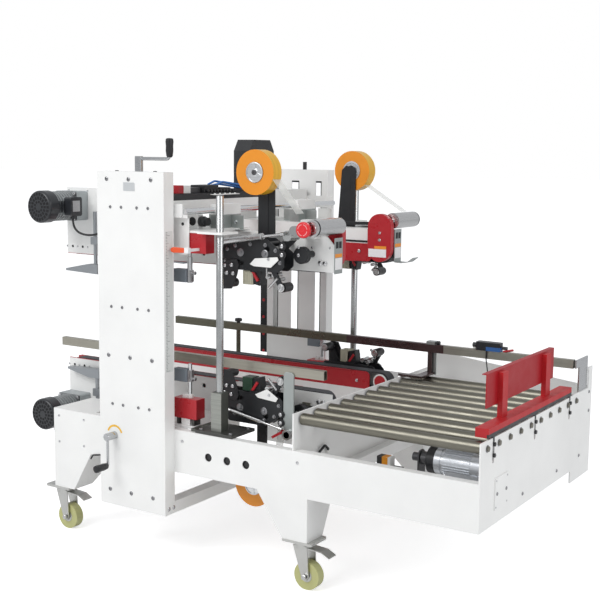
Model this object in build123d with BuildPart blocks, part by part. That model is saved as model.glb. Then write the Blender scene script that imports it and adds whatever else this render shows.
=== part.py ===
from build123d import *
from math import radians, tan
import os

os.makedirs("parts", exist_ok=True)

# Frame of the part: X runs along the carton travel, Y across it, Z up, floor at z = 0.
# The side crank stands out at the front, so the machine's own middle plane lies at mid_y.
mid_y = 50.0
mid_plane = Plane.XZ.offset(-mid_y)
clear = 6.0                 # between pieces that move past each other
touch = 0.3                 # running gap at pins, bores and shafts

# Gate columns
col_left = -482.0
col_wide = 290.0
col_deep = 50.0
col_foot = 166.0
col_high = 1150.0
col_wall = 3.0
col_half = 485.0            # middle plane to the inner face of a column
slot_low = 656.0
slot_top = 1272.0
slot_wide = 36.0
back_rim = 22.0             # left round the window in the rear column's back
slot_shift = -8.0           # middle slot from the middle of the column
side_slot_wide = 27.0
side_slot_pitch = 103.0
tie_wide = 45.0
tie_high = 40.0
tie_wall = 4.0

col_mid = col_left + col_wide / 2
col_right = col_left + col_wide
col_top = col_foot + col_high
front_in = mid_y - col_half
rear_in = mid_y + col_half
front_out = front_in - col_deep
rear_out = rear_in + col_deep
slot_x = col_mid + slot_shift

# Base frame
base_left = -754.0
base_right = 910.0
base_low = 309.0
base_top = 456.0
base_flange = 30.0
sheet = 5.0
hole_r = 14.0
hole_first = -50.0
hole_pitch = 76.0
hole_count = 3
hole_z = 381.0
leg_foot = 165.0
leg_foot_wide = 95.0
box_wide = 179.0
box_deep = 200.0
mid_leg_right = 338.0
mid_leg_wide = 193.0
mid_leg_deep = 165.0
leg_foot_deep = 95.0
panel_top = 574.0
panel_raise = 648.0
panel_raise_wide = 38.0
panel_tab = 266.0
panel_tab_wide = 195.0
panel_t = 5.0
table_left = 280.0
cross_x = (-552.0, 280.0, 803.0)
cross_wide = 40.0

# Roller table
roller_r = 19.0
roller_z = 551.0
roller_count = 10
roller_rear = 164.6         # last roller axis to the base's rear face
roller_end = 11.0           # rollers to the end panel
roller_first = 44.0         # base front face to the first roller axis
roller_pitch = (2 * col_half - roller_first - roller_rear) / (roller_count - 1)
axle_r = 6.0
bolt_r = 8.0
bolt_high = 6.0

# Side belt units and their travel
belt_top = 591.0
gate_gap = 401.0            # lower belts to upper belts at rest
unit_left = -917.0
unit_right = 273.0
unit_out = 235.0            # middle plane to the outer face of a belt unit
unit_wide = 55.0
belt_deep = 68.0
unit_high = 121.0           # belt face to the far side of the white channel
end_chamfer = 28.0
inner_right = 183.0         # the inner plate stops before the end drum
inner_round = 18.0
unit_lip = 3.0              # belt stands above its side plates
belt_t = 4.0
drum_r = 30.0
drum_right = 228.0
drive_deep = 253.0
drive_wide = 200.0
drive_slope = 40.0
motor_x = -864.0
motor_drop = 186.0
motor_side = 110.0
motor_long = 200.0
gear_long = 60.0
cowl_r = 59.0
cowl_long = 48.0
term_box = 56.0
gland_r = 9.0
gland_long = 10.0

# Slides that carry the belt units across the machine
shaft_r = 10.0
shaft_z = 432.0
shaft_x = (-457.0, -157.0)
screw_r = 8.0
side_screw_x = -414.0
side_screw_z = 415.0
sledge_left = -477.0
sledge_right = -132.0
sledge_low = 456.0
sledge_t = 10.0
post_x = -36.0
post_y_out = col_half - 45.0    # middle plane to the guide post
post_r = 12.0
post_block = 40.0
post_block_top = 596.0
post_top = 1242.0

# Cross beam of the lifting head
beam_x = -322.0
beam_wide = 80.0
beam_low = 1167.0
beam_high = 64.0
beam_wall = 4.0
cap_high = 8.0
lift_screw_x = -317.0
lift_screw_top = 1347.0
hood_y = (126.0, 288.0)
hood_wide = 72.0
hood_high = 191.0
hood_cut = 26.0
carriage_low = 1167.0
carriage_high = 46.0
carriage_t = 8.0

# Tape heads
roll_x = 30.0
roll_r = 74.0
roll_wide = 48.0
core_r = 38.0
core_t = 4.0
roll_drop = 326.0           # belt face to the axis of the tape roll
head_out = 350.0            # middle plane to the outer plate of a tape head
head_wide = 60.0
head_t = 4.0
head_left = -97.0
head_right = 153.0
arm_t = 5.0
arm_wide = 40.0
hub_r = 30.0

head_high = 112.0
brush_x = 38.0
brush_wide = 40.0
ear_z = 1117.0

# Guide rails
rail_out = col_half - 140.0
rail_t = 20.0
rail_low = 659.0
rail_high = 30.0
rail_left = -845.0
front_rail_right = 308.0
rear_rail_right = 898.0
rail_post_x = (-521.0, 175.0)
rail_post_r = 9.0
rail_foot = 481.0
bar_z = 576.0
bar_right = 368.0
valve_x = 585.0

# Red clamp boxes, infeed fingers, end covers and the stop button of the belt units
clamp_x = -178.0
clamp_y = front_in + 60.0
clamp_low = 489.0
clamp_long = 100.0
clamp_deep = 46.0
clamp_high = 67.0
finger_x = -755.0
cover_x = 225.0
cover_z = 1084.0
cover_wide = 94.0
cover_high = 172.0
cover_deep = 22.0
guide_x = 261.0
guide_z = 1145.0
guide_r = 28.0
stop_x = 192.0
stop_z = belt_top + gate_gap + unit_high + 22.0
stop_side = 62.0
stop_deep = 30.0
stop_neck = 87.0
stop_neck_r = 13.0
stop_offset = 46.0
stop_r = 26.0

# Castors
castor_x = (-742.0, 300.0)
castor_half = col_half - 45.0   # middle plane to a castor's swivel axis
wheel_r = 46.0
wheel_wide = 32.0
castor_trail = 20.0
plate_t = 8.0
plate_long = 112.0
plate_wide = 96.0
pedal_long = 106.0
pedal_wide = 44.0
pedal_t = 3.0
fork_t = 4.0

mid_z = belt_top + gate_gap / 2
height_plane = Plane.XY.offset(mid_z)
unit_front = mid_y - unit_out
unit_back = unit_front + unit_wide
drive_left = unit_left


# The gate: two sheet-metal columns, slotted on their inner faces for the lifting head; the rear
# one has a long window in its back
with BuildPart() as gate_columns:
    for y_mid, y_slot in (
        (front_in - col_deep / 2, front_in),
        (rear_in + col_deep / 2, rear_in),
    ):
        with BuildSketch(Plane.XY.offset(col_foot)):
            with Locations((col_mid, y_mid)):
                Rectangle(col_wide, col_deep)
                Rectangle(col_wide - 2 * col_wall, col_deep - 2 * col_wall, mode=Mode.SUBTRACT)
        extrude(amount=col_high - col_wall)
        with BuildSketch(Plane.XY.offset(col_top - col_wall)):
            with Locations((col_mid, y_mid)):
                Rectangle(col_wide, col_deep)
            with Locations((lift_screw_x, y_mid)):
                Circle(screw_r + touch, mode=Mode.SUBTRACT)
        extrude(amount=col_wall)
        with BuildSketch(Plane.XZ.offset(-y_slot)):
            with Locations((slot_x, (slot_low + slot_top) / 2)):
                Rectangle(slot_wide, slot_top - slot_low)
            with Locations(
                (col_mid - side_slot_pitch, (slot_low + slot_top) / 2),
                (col_mid + side_slot_pitch, (slot_low + slot_top) / 2),
            ):
                Rectangle(side_slot_wide, slot_top - slot_low)
        extrude(amount=col_wall, both=True, mode=Mode.SUBTRACT)
    with BuildSketch(Plane.XZ.offset(-rear_out)):
        with Locations((col_mid, (slot_low + slot_top) / 2)):
            RectangleRounded(col_wide - 2 * back_rim, slot_top - slot_low + 2 * clear, back_rim)
    extrude(amount=col_wall, both=True, mode=Mode.SUBTRACT)
    for y_face in (front_out, front_in - col_wall):
        with BuildSketch(Plane.XZ.offset(-(y_face + col_wall / 2))):
            with Locations((side_screw_x, side_screw_z)):
                Circle(screw_r + touch)
        extrude(amount=col_wall, both=True, mode=Mode.SUBTRACT)
gate_columns.part.label = "gate_columns"
export_step(gate_columns.part, "parts/gate_columns.step")

# Base frame: two folded side channels, the front one with round cable holes
with BuildPart() as base_frame:
    with BuildSketch(Plane.YZ.offset(base_left)):
        with Locations((front_in + base_flange / 2, (base_low + base_top) / 2)):
            Rectangle(base_flange, base_top - base_low)
        with Locations((front_in + base_flange / 2 + sheet, (base_low + base_top) / 2)):
            Rectangle(base_flange, base_top - base_low - 2 * sheet, mode=Mode.SUBTRACT)
    extrude(amount=base_right - base_left)
    mirror(about=mid_plane)
    with BuildSketch(Plane.XZ.offset(-(front_in + sheet / 2))):
        with Locations([(hole_first + i * hole_pitch, hole_z) for i in range(hole_count)]):
            Circle(hole_r)
        with Locations((side_screw_x, side_screw_z)):
            Circle(screw_r + 1.0)
    extrude(amount=sheet, both=True, mode=Mode.SUBTRACT)
base_frame.part.label = "base_frame"
export_step(base_frame.part, "parts/base_frame.step")

# Ties across the machine: three square tubes between the side channels and the channel
# from column to column under the base
with BuildPart() as cross_ties:
    with BuildSketch(Plane.XZ.offset(-(front_in + sheet))):
        with Locations([(x + cross_wide / 2, base_low + sheet + cross_wide / 2) for x in cross_x]):
            Rectangle(cross_wide, cross_wide)
            Rectangle(cross_wide - 2 * tie_wall, cross_wide - 2 * tie_wall, mode=Mode.SUBTRACT)
    extrude(amount=-(2 * col_half - 2 * sheet))
    with BuildSketch(Plane.XZ.offset(-front_in)):
        with Locations((col_right - tie_wide / 2, col_foot + tie_high / 2)):
            Rectangle(tie_wide, tie_high)
        with Locations((col_right - tie_wide / 2 - tie_wall, col_foot + tie_high / 2)):
            Rectangle(tie_wide, tie_high - 2 * tie_wall, mode=Mode.SUBTRACT)
    extrude(amount=-2 * col_half)
cross_ties.part.label = "cross_ties"
export_step(cross_ties.part, "parts/cross_ties.step")

# Legs: closed boxes at the infeed and tapered boxes under the table, down to the castor plates
with BuildPart() as base_legs:
    with BuildSketch(Plane.XZ.offset(-(front_in + base_flange))):
        with BuildLine():
            Polyline(
                (base_left, leg_foot),
                (base_left + leg_foot_wide, leg_foot),
                (base_left + box_wide, base_low),
                (base_left + box_wide, base_top),
                (base_left, base_top),
                close=True,
            )
        make_face()
    extrude(amount=-(box_deep - base_flange))
    with BuildSketch(Plane.XZ.offset(-front_in)):
        with BuildLine():
            Polyline(
                (base_left, leg_foot),
                (base_left + leg_foot_wide, leg_foot),
                (base_left + box_wide, base_low),
                (base_left, base_low),
                close=True,
            )
        make_face()
    extrude(amount=-base_flange)
    with BuildSketch(Plane.YZ.offset(base_left)):
        with BuildLine():
            Polyline(
                (front_in + leg_foot_deep, leg_foot),
                (front_in + box_deep, leg_foot),
                (front_in + box_deep, base_low),
                close=True,
            )
        make_face()
    extrude(amount=box_wide, mode=Mode.SUBTRACT)
    with BuildSketch(Plane.XZ.offset(-front_in)):
        with BuildLine():
            Polyline(
                (mid_leg_right, leg_foot),
                (mid_leg_right, base_low),
                (mid_leg_right - mid_leg_wide, base_low),
                (mid_leg_right - leg_foot_wide, leg_foot),
                close=True,
            )
        make_face()
    extrude(amount=-mid_leg_deep)
    with BuildSketch(Plane.YZ.offset(mid_leg_right - mid_leg_wide)):
        with BuildLine():
            Polyline(
                (front_in + leg_foot_deep, leg_foot),
                (front_in + mid_leg_deep, leg_foot),
                (front_in + mid_leg_deep, base_low),
                close=True,
            )
        make_face()
    extrude(amount=mid_leg_wide, mode=Mode.SUBTRACT)
    mirror(about=mid_plane)
base_legs.part.label = "base_legs"
export_step(base_legs.part, "parts/base_legs.step")

# End panel of the roller table: holds the roller axles and the height slots of the fence
roller_ys = [front_in + roller_first + i * roller_pitch for i in range(roller_count)]
fence_slot_ys = (front_in + 90.0, front_in + 420.0, front_in + 740.0)
fence_slot_low = 498.0
fence_slot_wide = 14.0
with BuildPart() as end_panel:
    with BuildSketch(Plane.YZ.offset(base_right)):
        with BuildLine():
            Polyline(
                (front_in, base_low),
                (rear_in - panel_tab_wide, base_low),
                (rear_in - panel_tab_wide, panel_tab),
                (rear_in, panel_tab),
                (rear_in, panel_raise),
                (rear_in - panel_raise_wide, panel_raise),
                (rear_in - panel_raise_wide, panel_top),
                (front_in, panel_top),
                close=True,
            )
        make_face()
        with Locations([(y, roller_z) for y in roller_ys]):
            Circle(axle_r, mode=Mode.SUBTRACT)
        with Locations([(y, fence_slot_low + fence_slot_wide / 2) for y in fence_slot_ys]):
            Circle(fence_slot_wide / 2, mode=Mode.SUBTRACT)
        with Locations([(y, (fence_slot_low + fence_slot_wide / 2 + panel_top) / 2) for y in fence_slot_ys]):
            Rectangle(fence_slot_wide, panel_top - fence_slot_low - fence_slot_wide / 2, mode=Mode.SUBTRACT)
    extrude(amount=panel_t)
end_panel.part.label = "end_panel"
export_step(end_panel.part, "parts/end_panel.step")

# Left end plate of the roller table, on top of the side beams and down to the tie between them
with BuildPart() as table_plate:
    with BuildSketch(Plane.YZ.offset(table_left)):
        with BuildLine():
            Polyline(
                (front_in, base_top),
                (front_in + base_flange, base_top),
                (front_in + base_flange, base_low + sheet + cross_wide),
                (rear_in - base_flange, base_low + sheet + cross_wide),
                (rear_in - base_flange, base_top),
                (rear_in, base_top),
                (rear_in, panel_top),
                (front_in, panel_top),
                close=True,
            )
        make_face()
        with Locations([(y, roller_z) for y in roller_ys]):
            Circle(axle_r, mode=Mode.SUBTRACT)
    extrude(amount=panel_t)
table_plate.part.label = "table_plate"
export_step(table_plate.part, "parts/table_plate.step")

# White panel that closes the rear side of the table
with BuildPart() as rear_panel:
    with BuildSketch(Plane.XZ.offset(-rear_in)):
        with BuildLine():
            Polyline(
                (table_left + panel_t, base_top),
                (base_right, base_top),
                (base_right, panel_top),
                (table_left + 60.0, 634.0),
                (table_left + panel_t, 634.0),
                close=True,
            )
        make_face()
    extrude(amount=panel_t)
rear_panel.part.label = "rear_panel"
export_step(rear_panel.part, "parts/rear_panel.step")

# Table rollers: steel tube with a stepped axle held in both end plates
roller_left = table_left + panel_t + clear
roller_right = base_right - roller_end
with BuildPart() as table_rollers:
    with BuildSketch(Plane.YZ.offset(roller_left)):
        with Locations([(y, roller_z) for y in roller_ys]):
            Circle(roller_r)
    extrude(amount=roller_right - roller_left)
    with BuildSketch(Plane.YZ.offset(table_left)):
        with Locations([(y, roller_z) for y in roller_ys]):
            Circle(axle_r)
    extrude(amount=base_right + panel_t - table_left)
    with BuildSketch(Plane.YZ.offset(base_right + panel_t)):
        with Locations([(y, roller_z) for y in roller_ys]):
            Circle(bolt_r)
    extrude(amount=bolt_high)
table_rollers.part.label = "table_rollers"
export_step(table_rollers.part, "parts/table_rollers.step")

# Red fence over the end panel: folded channel across the panel's top edge, tongues in its slots,
# clamp strips with two bolts each behind the panel, two posts and a plate with a folded lip
fence_x = base_right + panel_t + touch
fence_wide = 42.0
fence_high = 28.0
fence_wall = 3.0
fence_low = panel_top + 5.0
fence_y0 = front_in + 50.0
fence_y1 = front_in + 753.0
fence_post_y = (front_in + 222.0, front_in + 585.0)
fence_post_wide = 40.0
fence_post_deep = 16.0
fence_plate_y0 = front_in + 120.0
fence_plate_y1 = front_in + 675.0
fence_plate_low = 648.0
fence_plate_top = 750.0
fence_plate_t = 4.0
fence_plate_x = fence_x - fence_wide - 1.3
fence_lip = 13.0
tongue_low = panel_top - 10.0
strip_wide = 16.0
strip_low = 508.0
fence_bolt_r = 4.0
fence_head_r = 6.5
fence_bolt_z = (522.0, 555.0)
with BuildPart() as fence_frame:
    with BuildSketch(Plane.XZ.offset(-fence_y0)):
        with Locations((fence_x - fence_wide / 2, fence_low + fence_high / 2)):
            Rectangle(fence_wide, fence_high)
        with Locations((fence_x - fence_wide / 2, fence_low + (fence_high - fence_wall) / 2)):
            Rectangle(fence_wide - 2 * fence_wall, fence_high - fence_wall, mode=Mode.SUBTRACT)
    extrude(amount=-(fence_y1 - fence_y0))
    for y in (fence_y0, fence_y1 - fence_wall):
        with BuildSketch(Plane.XZ.offset(-y)):
            with Locations((fence_x - fence_wide / 2, fence_low + fence_high / 2)):
                Rectangle(fence_wide, fence_high)
        extrude(amount=-fence_wall)
    with BuildSketch(Plane.XY.offset(fence_low + fence_high)):
        with Locations([(fence_plate_x + fence_plate_t + fence_post_deep / 2, y) for y in fence_post_y]):
            Rectangle(fence_post_deep, fence_post_wide)
    extrude(amount=fence_plate_top - fence_lip / 2 - fence_low - fence_high)
    for y in fence_slot_ys:
        with BuildSketch(Plane.YZ.offset(base_right + touch)):
            with Locations((y, (tongue_low + fence_low + fence_high) / 2)):
                Rectangle(fence_slot_wide - 2 * touch, fence_low + fence_high - tongue_low)
        extrude(amount=panel_t - 2 * touch)
        with BuildSketch(Plane.YZ.offset(base_right - panel_t - touch)):
            with Locations((y, (strip_low + fence_low + fence_high) / 2)):
                Rectangle(strip_wide, fence_low + fence_high - strip_low)
        extrude(amount=panel_t)
        with BuildSketch(Plane.YZ.offset(base_right - panel_t)):
            with Locations([(y, z) for z in fence_bolt_z]):
                Circle(fence_bolt_r)
        extrude(amount=fence_x - base_right + panel_t)
        with BuildSketch(Plane.YZ.offset(fence_x)):
            with Locations([(y, z) for z in fence_bolt_z]):
                RegularPolygon(fence_head_r, 6)
        extrude(amount=bolt_high)
fence_frame.part.label = "fence_frame"
export_step(fence_frame.part, "parts/fence_frame.step")

with BuildPart() as fence_plate:
    with BuildSketch(Plane.YZ.offset(fence_plate_x)):
        with Locations(((fence_plate_y0 + fence_plate_y1) / 2, (fence_plate_low + fence_plate_top) / 2)):
            Rectangle(fence_plate_y1 - fence_plate_y0, fence_plate_top - fence_plate_low)
    extrude(amount=fence_plate_t)
    with BuildSketch(Plane.XY.offset(fence_plate_top)):
        with Locations((fence_plate_x + (fence_plate_t - fence_lip) / 2, (fence_plate_y0 + fence_plate_y1) / 2)):
            Rectangle(fence_plate_t + fence_lip, fence_plate_y1 - fence_plate_y0)
    extrude(amount=-fence_wall)
fence_plate.part.label = "fence_plate"
export_step(fence_plate.part, "parts/fence_plate.step")

# Small cover with two latches on the end panel
with BuildPart() as access_cover:
    with BuildSketch(Plane.YZ.offset(base_right + panel_t)):
        with Locations((-282.0, 400.0)):
            Rectangle(96.0, 96.0)
    extrude(amount=4.0)
access_cover.part.label = "access_cover"
export_step(access_cover.part, "parts/access_cover.step")

# Table drive motor under the rollers: round body and end bell on a foot over the third tie
table_motor_x = cross_x[2] - 55.0
table_motor_y = front_in + 120.0
table_motor_z = 470.0
table_motor_r = 38.0
table_motor_long = 150.0
bell_r = 40.0
bell_long = 40.0
foot_long = 110.0
foot_wide = 70.0
with BuildPart() as table_motor:
    with BuildSketch(Plane.YZ.offset(table_motor_x)):
        with Locations((table_motor_y, table_motor_z)):
            Circle(table_motor_r)
    extrude(amount=table_motor_long)
    with BuildSketch(Plane.YZ.offset(table_motor_x - bell_long)):
        with Locations((table_motor_y, table_motor_z)):
            Circle(bell_r)
    extrude(amount=bell_long)
    with BuildSketch(Plane.XY.offset(base_low + sheet + cross_wide)):
        with Locations((cross_x[2] + cross_wide / 2, table_motor_y)):
            Rectangle(foot_long, foot_wide)
    extrude(amount=table_motor_z - base_low - sheet - cross_wide - table_motor_r / 2)
table_motor.part.label = "table_motor"
export_step(table_motor.part, "parts/table_motor.step")

# Slide shafts of the lower units, from side beam to side beam
with BuildPart() as lower_shafts:
    for x in shaft_x:
        with BuildSketch(Plane.XZ.offset(-(front_in + sheet))):
            with Locations((x, shaft_z)):
                Circle(shaft_r)
        extrude(amount=-(2 * col_half - 2 * sheet))
lower_shafts.part.label = "lower_shafts"
export_step(lower_shafts.part, "parts/lower_shafts.step")

# Width screw with its crank on the front column
crank_arm = 100.0
crank_r = 8.0
crank_out = 45.0
grip_r = 13.0
grip_long = 52.0
with BuildPart() as width_crank:
    with BuildSketch(Plane.XZ.offset(-(rear_in - sheet - clear))):
        with Locations((side_screw_x, side_screw_z)):
            Circle(screw_r)
    extrude(amount=rear_in - sheet - clear - front_out + crank_out)
    with BuildSketch(Plane.XZ.offset(-(front_out - touch))):
        with Locations((side_screw_x, side_screw_z)):
            Circle(screw_r + 5.0)
    extrude(amount=crank_out)
    with BuildSketch(Plane.XZ.offset(-(front_out - crank_out + 12.0))):
        with Locations((side_screw_x, side_screw_z - crank_arm / 2)):
            Rectangle(14.0, crank_arm)
    extrude(amount=8.0)
    with BuildSketch(Plane.XZ.offset(-(front_out - crank_out + 12.0))):
        with Locations((side_screw_x, side_screw_z - crank_arm)):
            Circle(grip_r)
    extrude(amount=grip_long + 15.0)
width_crank.part.label = "width_crank"
export_step(width_crank.part, "parts/width_crank.step")

# Lift screws inside the columns; the front one carries the height crank
top_arm = 130.0
with BuildPart() as height_crank:
    with BuildSketch(Plane.XY.offset(slot_low - 60.0)):
        with Locations((lift_screw_x, front_in - col_deep / 2)):
            Circle(screw_r)
    extrude(amount=lift_screw_top - slot_low + 60.0)
    with BuildSketch(Plane.XY.offset(col_top + touch)):
        with Locations((lift_screw_x, front_in - col_deep / 2)):
            Circle(screw_r + 6.0)
    extrude(amount=50.0)
    with BuildSketch(Plane.XY.offset(col_top + 40.0)):
        with Locations((lift_screw_x + top_arm / 2, front_in - col_deep / 2)):
            Rectangle(top_arm, 14.0)
        with Locations((lift_screw_x + top_arm, front_in - col_deep / 2)):
            Circle(7.0)
    extrude(amount=8.0)
    with BuildSketch(Plane.XY.offset(col_top + 48.0)):
        with Locations((lift_screw_x + top_arm, front_in - col_deep / 2)):
            Circle(grip_r)
    extrude(amount=60.0)
height_crank.part.label = "height_crank"
export_step(height_crank.part, "parts/height_crank.step")

with BuildPart() as rear_lift_screw:
    with BuildSketch(Plane.XY.offset(slot_low - 60.0)):
        with Locations((lift_screw_x, rear_in + col_deep / 2)):
            Circle(screw_r)
    extrude(amount=lift_screw_top - slot_low + 60.0)
rear_lift_screw.part.label = "rear_lift_screw"
export_step(rear_lift_screw.part, "parts/rear_lift_screw.step")

# Cross beam of the head with the strip on its top and the hood over the air unit
beam_long = 2 * (col_half - clear - carriage_t)
with BuildPart() as cross_beam:
    with BuildSketch(Plane.XZ.offset(-(front_in + clear + carriage_t))):
        with Locations((beam_x, beam_low + beam_high / 2)):
            Rectangle(beam_wide, beam_high)
            Rectangle(beam_wide - 2 * beam_wall, beam_high - 2 * beam_wall, mode=Mode.SUBTRACT)
    extrude(amount=-beam_long)
    with BuildSketch(Plane.XY.offset(beam_low + beam_high)):
        with Locations((beam_x, mid_y)):
            Rectangle(beam_wide, beam_long)
    extrude(amount=cap_high)
    hood_low = beam_low + beam_high + cap_high
    with BuildSketch(Plane.YZ.offset(beam_x - hood_wide / 2)):
        with BuildLine():
            Polyline(
                (hood_y[0], hood_low),
                (hood_y[0], hood_low + hood_high - 1.6 * hood_cut),
                (hood_y[0] + hood_cut, hood_low + hood_high),
                (hood_y[1] - hood_cut, hood_low + hood_high),
                (hood_y[1], hood_low + hood_high - 1.6 * hood_cut),
                (hood_y[1], hood_low),
                close=True,
            )
        make_face()
    extrude(amount=hood_wide)
cross_beam.part.label = "cross_beam"
export_step(cross_beam.part, "parts/cross_beam.step")

upper_shaft_x = (-432.0, -157.0)
upper_shaft_z = carriage_low + 20.0
with BuildPart() as head_carriages:
    with BuildSketch(Plane.XZ.offset(-(front_in + clear))):
        with Locations((col_mid, carriage_low + carriage_high / 2)):
            Rectangle(col_wide - 4.0, carriage_high)
    extrude(amount=-carriage_t)
    with BuildSketch(Plane.XZ.offset(-(front_in + clear))):
        with Locations((slot_x, carriage_low + carriage_high / 2)):
            Rectangle(slot_wide - 2 * clear, carriage_high)
        with Locations(
            (col_mid - side_slot_pitch, carriage_low + carriage_high / 2),
            (col_mid + side_slot_pitch, carriage_low + carriage_high / 2),
        ):
            Rectangle(side_slot_wide - 2 * clear, carriage_high)
    extrude(amount=col_wall + clear + 8.0)
    with BuildSketch(Plane.XZ.offset(-(front_in - col_wall - clear))):
        with Locations(((slot_x + lift_screw_x) / 2, carriage_low + carriage_high / 2)):
            Rectangle(abs(lift_screw_x - slot_x) + 28.0, carriage_high)
    extrude(amount=col_deep - 2 * col_wall - 2 * clear)
    with BuildSketch(Plane.XY.offset(carriage_low)):
        with Locations((lift_screw_x, front_in - col_deep / 2)):
            Circle(screw_r + touch)
    extrude(amount=carriage_high, mode=Mode.SUBTRACT)
    mirror(about=mid_plane)
head_carriages.part.label = "head_carriages"
export_step(head_carriages.part, "parts/head_carriages.step")

# Slide shafts of the upper units, from carriage to carriage
with BuildPart() as upper_shafts:
    with BuildSketch(Plane.XZ.offset(-(front_in + clear + carriage_t))):
        with Locations([(x, upper_shaft_z) for x in upper_shaft_x]):
            Circle(shaft_r)
    extrude(amount=-beam_long)
upper_shafts.part.label = "upper_shafts"
export_step(upper_shafts.part, "parts/upper_shafts.step")

# Lower front belt unit: outer drive plate, inner plate and the hollow channel that joins them
plate_top = belt_top - unit_lip
channel_top = belt_top - belt_deep
unit_low = belt_top - unit_high
channel_left = unit_left + 60.0
with BuildPart() as lower_front_housing:
    with BuildSketch(Plane.XZ.offset(-unit_front)):
        with BuildLine():
            Polyline(
                (unit_left, plate_top),
                (unit_right, plate_top),
                (unit_right, unit_low + end_chamfer),
                (unit_right - end_chamfer, unit_low),
                (unit_left + drive_wide + drive_slope, unit_low),
                (unit_left + drive_wide, belt_top - drive_deep),
                (unit_left, belt_top - drive_deep),
                close=True,
            )
        make_face()
        with Locations((-260.0, plate_top - 33.0), (-40.0, plate_top - 33.0)):
            Circle(8.0, mode=Mode.SUBTRACT)
    extrude(amount=-sheet)
    with BuildSketch(Plane.XZ.offset(-(unit_back - sheet))) as inner_plate:
        with BuildLine():
            Polyline(
                (unit_left, plate_top),
                (inner_right, plate_top),
                (inner_right, channel_top - tie_wall),
                (unit_left, channel_top - tie_wall),
                close=True,
            )
        make_face()
        fillet(inner_plate.vertices().group_by(Axis.X)[-1], radius=inner_round)
    extrude(amount=-sheet)
    with BuildSketch(Plane.YZ.offset(channel_left)):
        with Locations(((unit_front + unit_back) / 2, (channel_top + unit_low) / 2)):
            Rectangle(unit_wide, channel_top - unit_low)
            Rectangle(unit_wide - 2 * sheet, channel_top - unit_low - 2 * tie_wall, mode=Mode.SUBTRACT)
    extrude(amount=inner_right - channel_left)
lower_front_housing.part.label = "lower_front_housing"

# Belt round two drums, with a bearing disc on the end drum
drum_z = belt_top - belt_t - drum_r
drum_left = unit_left + drum_r + belt_t + 11.0
drum_face = unit_front + sheet + touch
drum_wide = unit_wide - 2 * sheet - 2 * touch
with BuildPart() as lower_front_belt:
    with BuildSketch(Plane.XZ.offset(-drum_face)):
        with Locations(((drum_left + drum_right) / 2, drum_z)):
            SlotCenterToCenter(drum_right - drum_left, 2 * (drum_r + belt_t))
            SlotCenterToCenter(drum_right - drum_left, 2 * drum_r, mode=Mode.SUBTRACT)
    extrude(amount=-drum_wide)
    with BuildSketch(Plane.XZ.offset(-drum_face)):
        with Locations((drum_left, drum_z), (drum_right, drum_z)):
            Circle(drum_r)
    extrude(amount=-drum_wide)
    with BuildSketch(Plane.XZ.offset(-(drum_face + drum_wide))):
        with Locations((drum_right, drum_z)):
            Circle(drum_r - 1.0)
    extrude(amount=-(sheet - 1.0))
lower_front_belt.part.label = "lower_front_belt"
export_step(lower_front_belt.part, "parts/lower_front_belt.step")

# Gear motor on the drive plate: flange and gear head, round body with cooling fins, fan cowl
motor_z = belt_top - motor_drop
body_long = motor_long - gear_long - cowl_long
fin_count = 7
fin_pitch = body_long / fin_count
with BuildPart() as lower_front_motor:
    with BuildSketch(Plane.XZ.offset(-unit_front)):
        with Locations((motor_x, motor_z)):
            RectangleRounded(motor_side, motor_side, 8.0)
    extrude(amount=gear_long)
    with BuildSketch(Plane.XZ.offset(-(unit_front - gear_long))):
        with Locations((motor_x, motor_z)):
            Circle(motor_side / 2 - 6.0)
    extrude(amount=body_long)
    for i in range(fin_count):
        with BuildSketch(Plane.XZ.offset(-(unit_front - gear_long - i * fin_pitch - 3.0))):
            with Locations((motor_x, motor_z)):
                Circle(motor_side / 2)
        extrude(amount=fin_pitch - 6.0)
    with BuildSketch(Plane.XZ.offset(-(unit_front - motor_long + cowl_long))):
        with Locations((motor_x, motor_z)):
            Circle(cowl_r)
    extrude(amount=cowl_long)
    fillet(lower_front_motor.edges().filter_by(GeomType.CIRCLE).sort_by(Axis.Y)[0], radius=10.0)
lower_front_motor.part.label = "lower_front_motor"

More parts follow.
